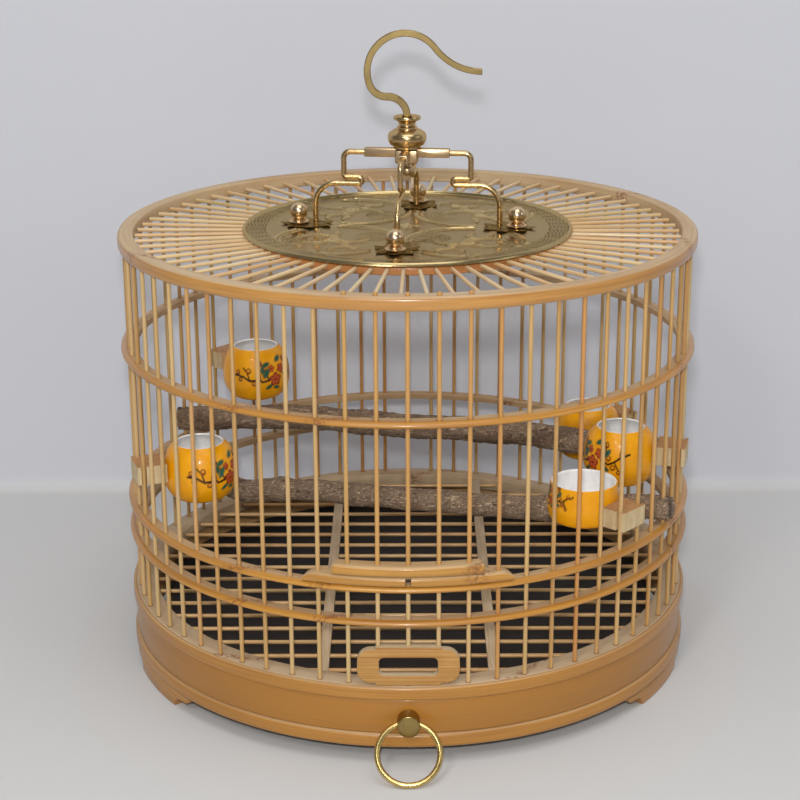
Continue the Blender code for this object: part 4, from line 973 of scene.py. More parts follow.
@dataclass
class Base:
    """Feet, lower hoop, rear band, ledge and bead."""

    outer_radius: float = 0.185
    foot_azimuths: dict[str, float] = field(default_factory=lambda: {
        "foot_right": 62.0, "foot_rear": 180.0, "foot_left": 298.0,
    })
    foot_inner: float = 0.176
    foot_outer: float = 0.1845
    foot_height: float = 0.0101
    foot_half_span: float = 14.0
    hoop_inner: float = 0.175
    hoop_base: float = 0.0104
    hoop_top: float = 0.0194
    band_base: float = 0.0197
    band_top: float = 0.0413
    band_inner: float = 0.1793
    band_outer: float = 0.1833
    band_gap: float = 0.0003
    drawer_half_angle: float = 70.0
    ledge_base: float = 0.0416
    ledge_top: float = 0.0500
    ledge_inner: float = 0.1690
    ledge_outer: float = 0.18292
    bead_inner: float = 0.1830
    bead_top: float = 0.0497
    foot_steps: tuple[Point, ...] = (
        (1.0, 0.9), (0.97, 0.72), (0.9, 0.66), (0.74, 0.66), (0.69, 0.56), (0.65, 0.3), (0.62, 0.0),
        (0.0, 0.0),
    )

    def band(self, name: str, steps: int, start: float, span: float) -> Piece:
        """Model a stretch of the band, which the drawer's front goes on with."""
        joint = math.degrees(self.band_gap / self.band_outer)
        section = rounded_box(self.band_inner, self.band_outer, self.band_base, self.band_top,
                              0.0006, 0.0004, 3)
        return hoop(name, section, steps, start + joint / 2, span - joint)

    def build(self) -> None:
        """Build and dress all pieces of the base."""
        skin = BambooFinish("honey bamboo hoop", Grain.ROUND, "bb8232", "925f26", "c7a273", "a07440",
                            roughness=0.38, fineness=3.5)
        band = BambooFinish("honey bamboo band", Grain.ROUND, "b37823", "99682a", "c09a68", "9c703e",
                            roughness=0.38, fineness=4.5)
        # The ledge's top face gets painted shade round each bar that stands on it.
        ledge = BambooFinish("ledge bamboo", Grain.ROUND, "b8823c", "8a5a28", "ceb694", "b0946c",
                             gloss=0.3, bar_contact_shade=True, joints=(-38.0, 21.0, 96.0, 171.0))
        hoop_material = skin.make()
        self._feet(hoop_material)
        outer = self.outer_radius
        section = rounded_box(self.hoop_inner, outer, self.hoop_base, self.hoop_top, 0.0024, 0.0008, 6)
        enter(dress(hoop("base_hoop", section), hoop_material), Body.CAGE, "honey_bamboo", "lower_hoop")
        item = self.band("back_band", 128, self.drawer_half_angle, 360.0 - 2 * self.drawer_half_angle)
        enter(dress(item, band.make()), Body.CAGE, "honey_bamboo", "rear_band")
        base = self.ledge_base
        section = rounded_box(self.ledge_inner, self.ledge_outer, base, self.ledge_top, 0.0004, 0.0006, 3)
        enter(dress(hoop("grate_ledge", section), ledge.make()), Body.CAGE, "bamboo", "ledge_ring")
        section = rounded_box(self.bead_inner, outer, base, self.bead_top, 0.0015, 0.0002, 6)
        enter(dress(hoop("ledge_bead", section), hoop_material), Body.CAGE, "honey_bamboo", "upper_bead")

    def _foot_underside(self, share: float) -> float:
        """Return the height share of a foot's underside at a share of its half span."""
        for (outer, high), (inner, low) in zip(self.foot_steps, self.foot_steps[1:]):
            if inner <= share <= outer:
                t = (share - inner) / (outer - inner)
                return low + (high - low) * (t * t * (3.0 - 2.0 * t))
        return 0.0

    def _feet(self, material: Finish) -> None:
        """Build the three scrolled feet."""
        for name, azimuth in self.foot_azimuths.items():
            section = rounded_box(self.foot_inner, self.foot_outer, 0.0, self.foot_height, 0.0007, 0.0004, 3)
            item = hoop(name.replace("foot_", "") + "_foot", section, 112,
                        azimuth - self.foot_half_span, 2 * self.foot_half_span)

            def scroll(point: Vector) -> Vector:
                """Lift the underside towards the foot's two ends."""
                away = math.degrees(math.atan2(point.x, -point.y)) - azimuth
                away = (away + 180.0) % 360.0 - 180.0
                share = min(1.0, abs(away) / self.foot_half_span)
                lift = self._foot_underside(share)
                point.z = self.foot_height * lift + point.z * (1.0 - lift)
                return point

            enter(dress(mould(item, scroll), material), Body.CAGE, "honey_bamboo", name)


@dataclass
class Grate:
    """Rods of the floor with the two slats that they pass through."""

    spacing: float = 0.0193
    half_count: int = 8
    end_gap: float = 0.0002
    rod_radius: float = 0.0013
    height: float = 0.0465
    reach: float = 0.16833
    slat_offset: float = 0.051
    slat_width: float = 0.0064
    slat_base: float = 0.0467
    slat_top: float = 0.0500

    def build(self) -> None:
        """Build and dress the rods and slats."""
        rods = BambooFinish("grate rod bamboo", Grain.ACROSS, "d8b27a", "ae8048", "d8b27a", "ae8048",
                            gloss=0.2, pitch=self.spacing * MILLIMETRES)
        pattern = rod("grate_rod", self.rod_radius, Vector((-0.5, 0.0, 0.0)), Vector((0.5, 0.0, 0.0)), 12, 9)
        places = []
        for index in range(-self.half_count, self.half_count + 1):
            y = index * self.spacing
            length = 2.0 * (math.sqrt(self.reach ** 2 - y * y) - self.end_gap)
            size = Matrix.Diagonal((length, 1.0, 1.0, 1.0))
            places.append(Matrix.Translation((0.0, y, self.height)) @ size)
        enter(dress(stamp(pattern, "floor_rods", places), rods.make()), Body.CAGE, "bamboo", "floor_grate")
        slats = BoardFinish("grate slat board", "d4bd9c", "b99c76", "d4bd9c", "b99c76", Grain.ALONG,
                            across=0.5, along=0.03, roughness=0.6)
        half = math.sqrt(self.reach ** 2 - (self.slat_offset + self.slat_width / 2) ** 2)
        pieces = []
        for side in (-1.0, 1.0):
            x = side * self.slat_offset
            low = (x - self.slat_width / 2, -half, self.slat_base)
            high = (x + self.slat_width / 2, half, self.slat_top)
            pieces.append(block("slat", low, high, 0.0004))
        enter(dress(join("floor_slats", pieces), slats.make()), Body.CAGE, "bamboo", "floor_grate")


@dataclass
class Drawer:
    """Drawer front, tray, knob and pull ring."""

    base: Base
    tray_radius: float = 0.1790
    tray_half_width: float = 0.165
    tray_height: float = 0.005
    tray_rim: float = 0.003
    tray_depth: float = 0.002
    knob_height: float = 0.029
    knob_radius: float = 0.00665
    knob_back: float = 0.1836
    knob_length: float = 0.0097
    knob_edge: float = 0.0007
    knob_chamfer: float = 0.0004
    shank_radius: float = 0.002
    shank_length: float = 0.0072
    ring_radius: float = 0.01845
    ring_wire: float = 0.00172
    ring_clearance: float = 0.0003
    ring_hole: float = 0.0028
    ring_hole_y: float = -0.1887

    def build(self) -> None:
        """Build and dress the drawer's pieces."""
        self._front()
        self._tray()
        self._knob()
        self._ring()

    def _front(self) -> None:
        """Build the curved drawer front."""
        finish = BambooFinish("honey bamboo drawer", Grain.ROUND, "b07520", "99682a", "c09a68", "9c703e",
                              roughness=0.38, fineness=4.5)
        half = self.base.drawer_half_angle
        item = self.base.band("drawer_face", 112, -half, 2 * half)
        combine(item, rod("shank_hole", 0.0023, polar(0.19, 0.0, self.knob_height),
                          polar(0.17, 0.0, self.knob_height), 24))
        enter(dress(item, finish.make()), Body.DRAWER, "honey_bamboo", "drawer_front")

    def _tray(self) -> None:
        """Build the dark board with its low rim."""
        limit = math.degrees(math.asin(self.tray_half_width / self.tray_radius))
        base = self.base.band_base
        front = [polar(self.tray_radius, limit * step / 24, base) for step in range(-24, 25)]
        outline = front + [Vector((-point.x, -point.y, base)) for point in front]
        item = slab("drawer_board", outline, 0.0, 0.0, self.tray_height)
        bpy.ops.mesh.inset(thickness=self.tray_rim, depth=0.0)
        extrude(0.0, 0.0, -self.tray_depth)
        close_up(item)
        soften(item, 0.0004)
        finish = BoardFinish("dark board", "262425", "191718", "5a4b3b", "3f342a", Grain.ACROSS,
                             across=0.12, along=0.01, roughness=0.55)
        enter(dress(item, finish.make()), Body.DRAWER, "dark_board", "drawer_tray")

    def _knob(self) -> None:
        """Build the round knob with its cross hole and shank."""
        edge, chamfer, shank = self.knob_edge, self.knob_chamfer, self.shank_radius
        radius, length = self.knob_radius, self.knob_length
        profile = [(0.0, 0.0), (0.00555, 0.0), (radius - edge, 0.00015)]
        profile += arc((radius - edge, edge), (edge, edge), -90.0, 0.0, 4)
        profile += [(radius, length - chamfer), (radius - chamfer, length), (shank, length),
                    (shank, length + self.shank_length), (0.0, length + self.shank_length + 0.0002)]
        item = turned("drawer_knob", profile, (0.0, 0.0), 64)
        forward = Matrix.Rotation(math.radians(-90.0), 4, "X")
        shift(item, forward, Matrix.Translation((0.0, -self.knob_back - length, self.knob_height)))
        combine(item, rod("ring_hole", self.ring_hole, Vector((-0.01, self.ring_hole_y, self.knob_height)),
                          Vector((0.01, self.ring_hole_y, self.knob_height)), 32))
        finish = BrassFinish("dull brass knob", "a8915a", "7a6836", tarnish_share=0.5,
                             roughness=0.3, brush_scale=(3.0, 0.15, 3.0))
        enter(dress(item, finish.make(), smooth=28.0), Body.DRAWER, "polished_brass", "knob")

    def _ring(self) -> None:
        """Build the pull ring where it leans in the knob's hole."""
        half_hole = math.asin(self.knob_radius / self.ring_radius)
        lift = self.ring_radius * (1.0 - math.cos(half_hole)) / 2
        reach = 2 * self.ring_radius - lift
        lean = math.acos((self.knob_height - self.ring_wire - self.ring_clearance) / reach)
        release()
        bpy.ops.mesh.primitive_torus_add(
            major_segments=112, minor_segments=20, major_radius=self.ring_radius,
            minor_radius=self.ring_wire, rotation=(math.radians(90.0), 0.0, 0.0),
        )
        item = settle("ring_pull")
        shift(item, Matrix.Translation((0.0, 0.0, lift - self.ring_radius)), Matrix.Rotation(-lean, 4, "X"),
              Matrix.Translation((0.0, self.ring_hole_y, self.knob_height)))
        finish = BrassFinish("polished brass ring", "dcc07c", "8a7342", tarnish_share=0.2, roughness=0.25)
        enter(dress(item, finish.make(), smooth=60.0), Body.RING, "polished_brass", "pull_ring")


@dataclass
class Wall:
    """Upright bars and the hoops that they pass through."""

    circle: float = BAR_CIRCLE / MILLIMETRES
    bar_radius: float = 0.00132
    hole_gap: float = 0.0003
    foot: float = 0.0503
    head: float = 0.2767
    first_bar: int = 3
    last_bar: int = 61
    short_foot: float = 0.0751
    short_head: float = 0.1134
    knob_head: float = 0.1139
    hoop_width: float = 0.010
    hoop_height: float = 0.004
    hoop_bases: dict[str, float] = field(default_factory=lambda: {
        "low": 0.0881, "sill": 0.1094, "middle": 0.2094,
    })
    top_inner: float = 0.174
    top_outer: float = 0.184
    top_base: float = 0.277
    top_height: float = 0.2857

    def bars(self, name: str, spans: Sequence[tuple[int, float, float]]) -> Piece:
        """Model one bar and stamp it at each place.

        Args:
            name: The joined object's name.
            spans: Bar index, foot height and head height of each bar.

        Returns:
            The joined bars.
        """
        pattern = rod("bar", self.bar_radius, Vector((0.0, 0.0, 0.0)), Vector((0.0, 0.0, 1.0)), 12, 5)
        places = []
        for index, low, high in spans:
            place = polar(self.circle, index * BAR_PITCH, low)
            size = Matrix.Diagonal((1.0, 1.0, high - low, 1.0))
            places.append(Matrix.Translation(place) @ Matrix.Rotation(index * 0.37, 4, "Z") @ size)
        return stamp(pattern, name, places)

    def _drill(self, item: Piece, low: float, high: float) -> None:
        """Drill the door bars' holes through a hoop, from one height to another."""
        holes = [rod("hole", self.bar_radius + self.hole_gap, polar(self.circle, index * BAR_PITCH, low),
                     polar(self.circle, index * BAR_PITCH, high), 16) for index in DOOR_BARS]
        combine(item, join("holes", holes))

    def build(self) -> None:
        """Build and dress the wall's bars and hoops."""
        bars = BambooFinish("bar bamboo", Grain.UP, "cca566", "a3743c", "d4b985", "b98d55",
                            roughness=0.4, pitch=BAR_PITCH, tone_share=0.65).make()
        spans = [(index, self.foot, self.head) for index in range(self.first_bar, self.last_bar + 1)]
        enter(dress(self.bars("wall_bars", spans), bars, smooth=50.0), Body.CAGE, "bamboo", "bar_wall")
        short = [(index, self.foot if abs(index) == 2 else self.short_foot,
                  self.short_head if index else self.knob_head) for index in DOOR_BARS]
        enter(dress(self.bars("short_bars", short), bars, smooth=50.0), Body.CAGE, "bamboo", "hoop_low")
        # The wall hoops' cut faces get painted shade round each bar that passes through them.
        material = BambooFinish("wall hoop bamboo", Grain.ROUND, "ca9038", "9a6226", "c6a981", "a8855c",
                                gloss=0.5, roughness=0.38, skin_from=181.0, bar_contact_shade=True,
                                joints=(-31.0, -13.0, 68.0, 152.0)).make()
        inner = self.circle - self.hoop_width / 2
        outer = self.circle + self.hoop_width / 2
        nodes = {"low": "hoop_low", "sill": "hoop_sill", "middle": "bar_wall"}
        for name, low in self.hoop_bases.items():
            section = rounded_box(inner, outer, low, low + self.hoop_height, 0.00185, 0.0005, 8, 0.0038)
            item = hoop(name + "_hoop", section)
            if name == "middle":
                self._drill(item, low - 0.002, low + 0.006)
            enter(dress(item, material), Body.CAGE, "bamboo", nodes[name])
        base = self.top_base
        section = rounded_box(self.top_inner, self.top_outer, base, self.top_height, 0.0026, 0.0010, 6)
        item = hoop("roof_hoop", section)
        self._drill(item, base - 0.003, base + 0.013)
        top = BambooFinish("top hoop bamboo", Grain.ROUND, "c8924a", "9c682e", "c9ae88", "ad8d62",
                           gloss=0.5, roughness=0.38, joints=(-62.0, 72.0, 118.0))
        enter(dress(item, top.make()), Body.CAGE, "bamboo", "top_hoop")


@dataclass
class Door:
    """Sill halves, lifting rail and its five bars."""

    wall: Wall
    inner: float = 0.175
    outer: float = 0.185
    sill_base: float = 0.1137
    sill_top: float = 0.1195
    sill_start: float = 0.54
    sill_end: float = 19.5
    rail_base: float = 0.1198
    rail_top: float = 0.1261
    rail_half_angle: float = 13.8
    bar_foot: float = 0.1229
    bar_head: float = 0.2875

    def build(self) -> None:
        """Build and dress the door's pieces and the sill under it."""
        wood = BambooFinish("door bamboo", Grain.ROUND, "c48e3c", "9c682a", "ccae80", "ad8858",
                            roughness=0.4, joints=(15.6,)).make()
        for name, side in (("sill_left", -1.0), ("sill_right", 1.0)):
            section = rounded_box(self.inner, self.outer, self.sill_base, self.sill_top, 0.0022, 0.0005, 6)
            start = self.sill_start if side > 0.0 else -self.sill_end
            span = self.sill_end - self.sill_start
            item = hoop(name.replace("sill_", "") + "_sill", section, 32, start, span)

            def taper(point: Vector) -> Vector:
                """Draw the outer tip in to a rounded point."""
                away = abs(math.degrees(math.atan2(point.x, -point.y)))
                share = max(0.0, (away - self.sill_end + 2.4) / 2.4)
                point.z = self.sill_base + (point.z - self.sill_base) * (1.0 - 0.55 * share * share)
                return point

            enter(dress(mould(item, taper), wood), Body.CAGE, "bamboo", name)
        section = rounded_box(self.inner, self.outer, self.rail_base, self.rail_top, 0.0020, 0.0006, 6)
        item = hoop("lift_rail", section, 40, -self.rail_half_angle, 2 * self.rail_half_angle)
        soften(item, 0.0006, 2, 60.0)
        enter(dress(item, wood), Body.DOOR, "bamboo", "door_rail")
        bars = BambooFinish("door bar bamboo", Grain.UP, "cb9850", "a5712f", "cda164", "b07f42",
                            roughness=0.4, pitch=BAR_PITCH).make()
        nodes = [f"door_bar_{number}" for number in range(1, len(DOOR_BARS) + 1)]
        item = self.wall.bars("lift_bars", [(index, self.bar_foot, self.bar_head) for index in DOOR_BARS])
        enter(dress(item, bars, smooth=50.0), Body.DOOR, "bamboo", *nodes)


@dataclass
class PortPlate:
    """Board with the cleaning slot under the door."""

    back: float = -0.1765
    front: float = -0.1820
    base: float = 0.0503
    top: float = 0.0748
    half_width: float = 0.030
    middle_half_width: float = 0.01935
    step: float = 0.0015
    shoulder: float = 0.0004
    wing_round: float = 0.008
    slot_half_width: float = 0.0173
    slot_base: float = 0.0565
    slot_top: float = 0.0680
    slot_round: float = 0.003

    def _upright(self, name: str, outline: Sequence[Point], front: float, back: float) -> Piece:
        """Extrude an outline of width and height from the front to the back."""
        return close_up(slab(name, [Vector((x, front, z)) for x, z in outline], 0.0, back - front, 0.0))

    def build(self) -> None:
        """Build and dress the board."""
        low, high = self.base + self.step, self.top - self.step
        wing, inset = (self.wing_round, self.wing_round), self.half_width - self.wing_round
        half = [(self.middle_half_width - self.shoulder, self.base), (self.middle_half_width, low)]
        half += arc((inset, low + self.wing_round), wing, -90.0, 0.0, 8)
        half += arc((inset, high - self.wing_round), wing, 0.0, 90.0, 8)
        half += [(self.middle_half_width, high), (self.middle_half_width - self.shoulder, self.top)]
        outline = half + [(-x, z) for x, z in reversed(half)]
        board = self._upright("port_board", outline, self.front, self.back)
        corner, width = (self.slot_round, self.slot_round), self.slot_half_width - self.slot_round
        foot, head = self.slot_base + self.slot_round, self.slot_top - self.slot_round
        opening = []
        for centre, first in (((width, foot), -90.0), ((width, head), 0.0), ((-width, head), 90.0),
                              ((-width, foot), 180.0)):
            opening += arc(centre, corner, first, first + 90.0, 6)
        combine(board, self._upright("slot", opening, self.front - 0.002, self.back + 0.002))
        soften(board, 0.0005, 2, 40.0)
        finish = BoardFinish("port board", "bf9250", "a87436", "d0bb98", "b69c74", Grain.ACROSS,
                             across=0.32, along=0.01, roughness=0.5, line="8e4a22")
        enter(dress(board, finish.make(), smooth=25.0), Body.CAGE, "tan_board", "port_plate")


@dataclass
class Roof:
    """Wooden ring with its spokes, and the pressed brass plate."""

    spoke_count: int = 68
    spoke_phase: float = -1.3
    spoke_radius: float = 0.0013
    spoke_height: float = 0.2806
    spoke_start: float = 0.100
    spoke_end: float = 0.17345
    ring_inner: float = 0.058
    ring_outer: float = 0.103
    ring_base: float = 0.277
    ring_top: float = 0.2822
    plate_radius: float = 0.1055
    plate_base: float = 0.2825
    plate_top: float = 0.2833
    rim_height: float = 0.0027
    rim_width: float = 0.0032
    rows: int = 132
    steps: int = 460
    turn: float = -6.0
    field_distance: float = 57.0
    field_radius: float = 38.0
    border: float = 89.5
    ground: float = 0.34

    def build(self) -> None:
        """Build and dress the ring, spokes and plate."""
        pattern = rod("spoke", self.spoke_radius, polar(self.spoke_start, 0.0, self.spoke_height),
                      polar(self.spoke_end, 0.0, self.spoke_height), 12, 3)
        pitch = 360.0 / self.spoke_count
        places = [swing(self.spoke_phase + pitch * step) for step in range(self.spoke_count)]
        spokes = BambooFinish("spoke bamboo", Grain.RADIAL, "dabd8c", "b3844c", "dcc6a0", "c29c68",
                              gloss=0.3, pitch=pitch, phase=self.spoke_phase, tone_share=0.32)
        item = dress(stamp(pattern, "roof_spokes", places), spokes.make(), smooth=50.0)
        enter(item, Body.CAGE, "bamboo", "roof_ring")
        section = rounded_box(self.ring_inner, self.ring_outer, self.ring_base, self.ring_top, 0.0012, 0.0012)
        wood = BambooFinish("roof ring bamboo", Grain.ROUND, "b8783a", "8c5628", "b47e48", "8c5c2c",
                            gloss=0.25)
        enter(dress(hoop("roof_wheel", section, 128), wood.make()), Body.CAGE, "honey_bamboo", "roof_ring")
        self._plate()

    @staticmethod
    def _body(u: np.ndarray, v: np.ndarray, spine: Sequence[tuple[float, float, float]]) -> np.ndarray:
        """Return the height share of a rounded, scaled body along a spine.

        Args:
            u: First coordinate of each point in millimetres.
            v: Second coordinate of each point in millimetres.
            spine: Two coordinates and the half width at each place of the spine.

        Returns:
            The height share of each point, 0 outside the body.
        """
        level = np.zeros_like(u)
        passed = 0.0
        for (x0, y0, w0), (x1, y1, w1) in zip(spine, spine[1:]):
            run = (x1 - x0, y1 - y0)
            length = math.hypot(*run)
            share = np.clip(((u - x0) * run[0] + (v - y0) * run[1]) / length ** 2, 0.0, 1.0)
            away = np.hypot(u - x0 - share * run[0], v - y0 - share * run[1])
            half = (w0 + (w1 - w0) * share) * 1.22
            scale = 0.76 + 0.24 * np.cos((passed + share * length) * math.tau / 2.6 + away * 1.2)
            level = np.maximum(level, np.sqrt(np.clip(1.0 - (away / half) ** 2, 0.0, 1.0)) * scale)
            passed += length
        return level

    def _figures(self, u: np.ndarray, v: np.ndarray, seed: int) -> np.ndarray:
        """Return the height share of one field's scroll, leaves and ripples."""
        wave = 1.6 * math.sin(seed * 1.9)
        scroll = ((-26, -5 + wave, 1.0), (-17, 1, 2.6), (-8, -2, 4.6), (2, 4 + wave, 5.4), (11, 1, 3.8),
                  (18, 7, 2.6), (25, 5, 3.4), (30, 8, 1.4))
        level = self._body(u, v, scroll)
        leaves = (
            ((-8, -2, 2.0), (-13, -11, 3.0), (-20, -15, 0.8)), ((2, 4, 2.0), (0, 14, 3.4), (-8, 21, 0.8)),
            ((11, 1, 2.0), (15, -9, 2.6), (12, -17, 0.8)), ((-17, 1, 1.4), (-22, 10, 2.2), (-19, 17, 0.6)),
            ((18, 7, 1.4), (17, 16, 2.2), (22, 22, 0.6)),
        )
        for leaf in leaves:
            level = np.maximum(level, 0.85 * self._body(u, v, leaf))
        for x, y, reach in ((9.0, -22.0, 15.0), (-16.0, 24.0, 11.0)):
            away = np.hypot(u - x, v - y)
            fade = np.clip((reach - away) / 4.0, 0.0, 1.0)
            level = np.maximum(level, fade * (0.18 + 0.22 * np.cos(away * math.tau / 2.8)))
        return level

    def _relief(self, x: np.ndarray, y: np.ndarray) -> np.ndarray:
        """Return the pressed pattern's height share, from 0 to 1, at points of the plate."""
        radius = np.hypot(x, y) * MILLIMETRES
        angle = np.arctan2(x, -y) - math.radians(self.turn)
        level = np.full(x.shape, self.ground)
        for index in range(4):
            local = angle - math.radians(45.0 + 90.0 * index)
            out = radius * np.cos(local) - self.field_distance
            side = radius * np.sin(local) * (1.0 if index % 2 else -1.0)
            away = np.hypot(out, side)
            figure = self._figures(side, out, index)
            pressed = (away < self.field_radius - 4.5) & (figure > 0.2)
            level = np.where(pressed, np.maximum(0.3 + 0.7 * figure, self.ground), level)
            rings = np.exp(-((away - self.field_radius) / 0.9) ** 2)
            rings = np.maximum(rings, 0.75 * np.exp(-((away - self.field_radius + 3.2) / 0.7) ** 2))
            level = np.maximum(level, self.ground + 0.62 * rings)
        star = 7.5 + 2.5 * np.cos(4.0 * angle)
        dome = np.sqrt(np.clip(1.0 - (radius / star) ** 2, 0.0, 1.0))
        level = np.maximum(level, self.ground + 0.6 * dome)
        scales = 0.5 + 0.5 * np.cos(radius * math.tau / 2.3 + 1.6 * np.cos(angle * 60.0))
        sides = np.clip(np.abs(np.sin(angle)) * 2.2 - 1.2, 0.0, 1.0)
        band = self.ground + (0.5 * scales - 0.18) * sides
        line = np.exp(-((radius - self.border) / 0.7) ** 2)
        return np.clip(np.where(radius > self.border, band, level) + 0.3 * line, 0.0, 1.0)

    def _plate(self) -> None:
        """Build the round plate with its rolled rim and pressed relief."""
        flat = self.plate_radius - self.rim_width
        line = [(flat * step / self.rows, self.plate_top) for step in range(self.rows + 1)]
        crown = self.plate_base + self.rim_height - self.plate_top
        roll = []
        for step in range(1, 10):
            share = step / 10.0
            roll.append((flat + self.rim_width * share, self.plate_top + crown * math.sin(math.pi * share)))
        under = [(self.plate_radius, self.plate_top), (self.plate_radius - 0.0008, self.plate_base),
                 (0.0, self.plate_base)]
        item = turned("pressed_plate", line + roll + under, (0.0, 0.0), self.steps)
        places = vertex_places(item)
        radius = np.hypot(places[:, 0], places[:, 1])
        upper = (places[:, 2] > self.plate_top - 0.0001) & (radius < flat - 0.0002)
        level = self._relief(places[:, 0], places[:, 1])
        height = self.plate_top - 0.0007 + 0.0020 * level
        quarter = math.pi / 2
        angle = np.arctan2(places[:, 0], -places[:, 1]) - math.radians(self.turn)
        angle = np.mod(angle + quarter / 2, quarter) - quarter / 2
        out, side = radius * np.cos(angle), np.abs(radius * np.sin(angle))
        seat = (out > 0.044) & (out < 0.086) & (side < 0.0155)
        height = np.where(seat, np.minimum(height, self.plate_top + 0.0001), height)
        places[:, 2] = np.where(upper, height, places[:, 2])
        item.data.vertices.foreach_set("co", places.ravel())
        note(item, "relief", np.where(upper, level, 0.7))
        item.data.update()
        finish = ReliefBrassFinish("pressed old brass")
        enter(dress(item, finish.make(), smooth=60.0), Body.CAGE, "old_brass", "roof_plate")


@dataclass
class Hanger:
    """Petals, ball bolts, bent arms, cross, hub and hook."""

    nodes: dict[str, Piece]
    turn: float = -6.0
    petal_inner: float = 0.047
    petal_length: float = 0.035
    petal_width: float = 0.029
    petal_base: float = 0.2836
    petal_top: float = 0.2846
    bolt_circle: float = 0.070
    bolt_radius: float = 0.0059
    bolt_head: float = 0.0127
    bolt_foot: float = 0.2734
    seat_gap: float = 0.0003
    arm_radius: float = 0.0018
    arm_height: float = 0.331
    arm_start: float = 0.0193
    shoulder: float = 0.0405
    shoulder_bend: float = 0.004
    hairpin_reach: float = 0.031
    hairpin_pitch: float = 0.0041
    hairpin_drop: float = 0.0162
    foot_reach: float = 0.059
    foot_bend: float = 0.013
    cross_reach: float = 0.027
    cross_half: float = 0.00275
    core_depth: float = 0.0061
    hub_base: float = 0.33405
    hub_height: float = 0.020
    hub_radius: float = 0.01225
    hook_half_width: float = 0.0022
    hook_bends: tuple[Point, ...] = ((0.01215, 91.0), (0.0115, -71.0), (0.0236, -162.5), (0.0375, 52.0))

    @property
    def sides(self) -> dict[str, float]:
        """Azimuth of each arm by the side that it points to."""
        names = ("front", "right", "back", "left")
        return {name: self.turn + 90.0 * index for index, name in enumerate(names)}

    def build(self) -> None:
        """Build and dress all brass of the hanger."""
        brass = BrassFinish("hanger brass", "d0b384", "8a7444", tarnish_share=0.22).make()
        sleeve = BrassFinish("brushed cross brass", "c8ae8a", "937a58", tarnish_share=0.4,
                             roughness=0.34, brush_scale=(0.6, 0.6, 3.0), brush_depth=0.00002).make()
        ball = BrassFinish("ball brass", "e6caa4", "b0906a", tarnish_share=0.25).make()
        dark = BrassFinish("petal brass", "8e7444", "3a2c18", tarnish_share=0.8, roughness=0.34,
                           brush_depth=0.00012).make()
        for name, azimuth in self.sides.items():
            self._petal(name, azimuth, dark)
            self._bolt(name, azimuth, ball)
            self._arm(name, azimuth, brass)
        self._cross(sleeve)
        self._hub(brass)
        self._hook()
        for node in (*(f"under_nut_{side}" for side in self.sides), "knob_nut"):
            recolour(self.nodes[node], brass)

    def _petal(self, name: str, azimuth: float, material: Finish) -> None:
        """Build the thin jagged plate under one arm's foot."""
        centre = -(self.petal_inner + self.petal_length / 2)
        outline = []
        count = 112
        for step in range(count):
            angle = math.tau * step / count
            lobe = abs(math.cos(3.5 * angle))
            share = 0.72 + 0.28 * lobe ** 1.5 - 0.06 * (step % 4 == 2) - 0.03 * (step % 2)
            x = share * self.petal_width / 2 * math.sin(angle)
            y = centre - share * self.petal_length / 2 * math.cos(angle)
            outline.append(Vector((x, y, self.petal_base)))
        rise = (self.petal_top - self.petal_base) * 0.45
        item = slab(f"{name}_petal", outline, 0.0, 0.0, rise * 0.8)
        bpy.ops.mesh.inset(thickness=0.0008, depth=0.0)
        bpy.ops.transform.translate(value=(0.0, 0.0, rise * 0.2))
        close_up(item)

        def curl(point: Vector) -> Vector:
            """Turn the rim up a little, with a fold towards each lobe's tip."""
            away = 2.0 * math.hypot(point.x / self.petal_width, (point.y - centre) / self.petal_length)
            fold = 0.5 + 0.5 * math.cos(7.0 * math.atan2(point.x, centre - point.y))
            point.z += 0.0009 * max(0.0, away - 0.62) / 0.38 * fold
            return point

        mould(item, curl)
        combine(item, rod("petal_hole", 0.0021, polar(self.bolt_circle, 0.0, self.petal_base - 0.002),
                          polar(self.bolt_circle, 0.0, self.petal_top + 0.002), 24))
        shift(item, swing(azimuth))
        enter(dress(item, material, smooth=25.0), Body.CAGE, "old_brass", f"petal_{name}")

    def _bolt(self, name: str, azimuth: float, material: Finish) -> None:
        """Build one bolt with its flange, collar and ball head."""
        seat = self.petal_top + self.seat_gap
        ball = self.bolt_radius * 0.95
        foot = self.bolt_foot - seat
        profile = [(0.0, foot), (0.0018, foot), (0.0018, 0.0), (0.0062, 0.0), (0.0065, 0.0003),
                   (0.0065, 0.0008), (0.0061, 0.0011), (0.0044, 0.0012), (0.0042, 0.0016), (0.0046, 0.0019),
                   (0.0046, 0.0022), (0.0041, 0.0025)]
        profile += arc((0.0, self.bolt_head - ball), (ball, ball), -52.0, 90.0, 14)
        outline = [(radius, seat + height) for radius, height in profile]
        item = turned(f"{name}_bolt", outline, (0.0, -self.bolt_circle), 40)
        shift(item, swing(azimuth))
        enter(dress(item, material, smooth=40.0), Body.CAGE, "polished_brass", f"ball_bolt_{name}")

    def _arm(self, name: str, azimuth: float, material: Finish) -> None:
        """Bend one round wire from the cross to its foot on the petal."""
        release()
        bpy.ops.mesh.primitive_circle_add(
            vertices=20, radius=self.arm_radius, fill_type="NGON",
            location=(self.arm_start, 0.0, self.arm_height), rotation=(0.0, math.pi / 2, 0.0),
        )
        item = settle(f"{name}_arm")
        work_on(item, "FACE")
        half = self.hairpin_pitch / 2
        upper = self.arm_height - self.hairpin_drop
        lower = upper - self.hairpin_pitch

        def bend(x: float, z: float, angle: float, steps: int) -> None:
            """Sweep the end face about a centre; a positive angle turns from +X to -Z."""
            turn = -math.radians(angle)
            bpy.ops.mesh.spin(steps=steps, angle=turn, center=(x, 0.0, z), axis=(0.0, 1.0, 0.0))

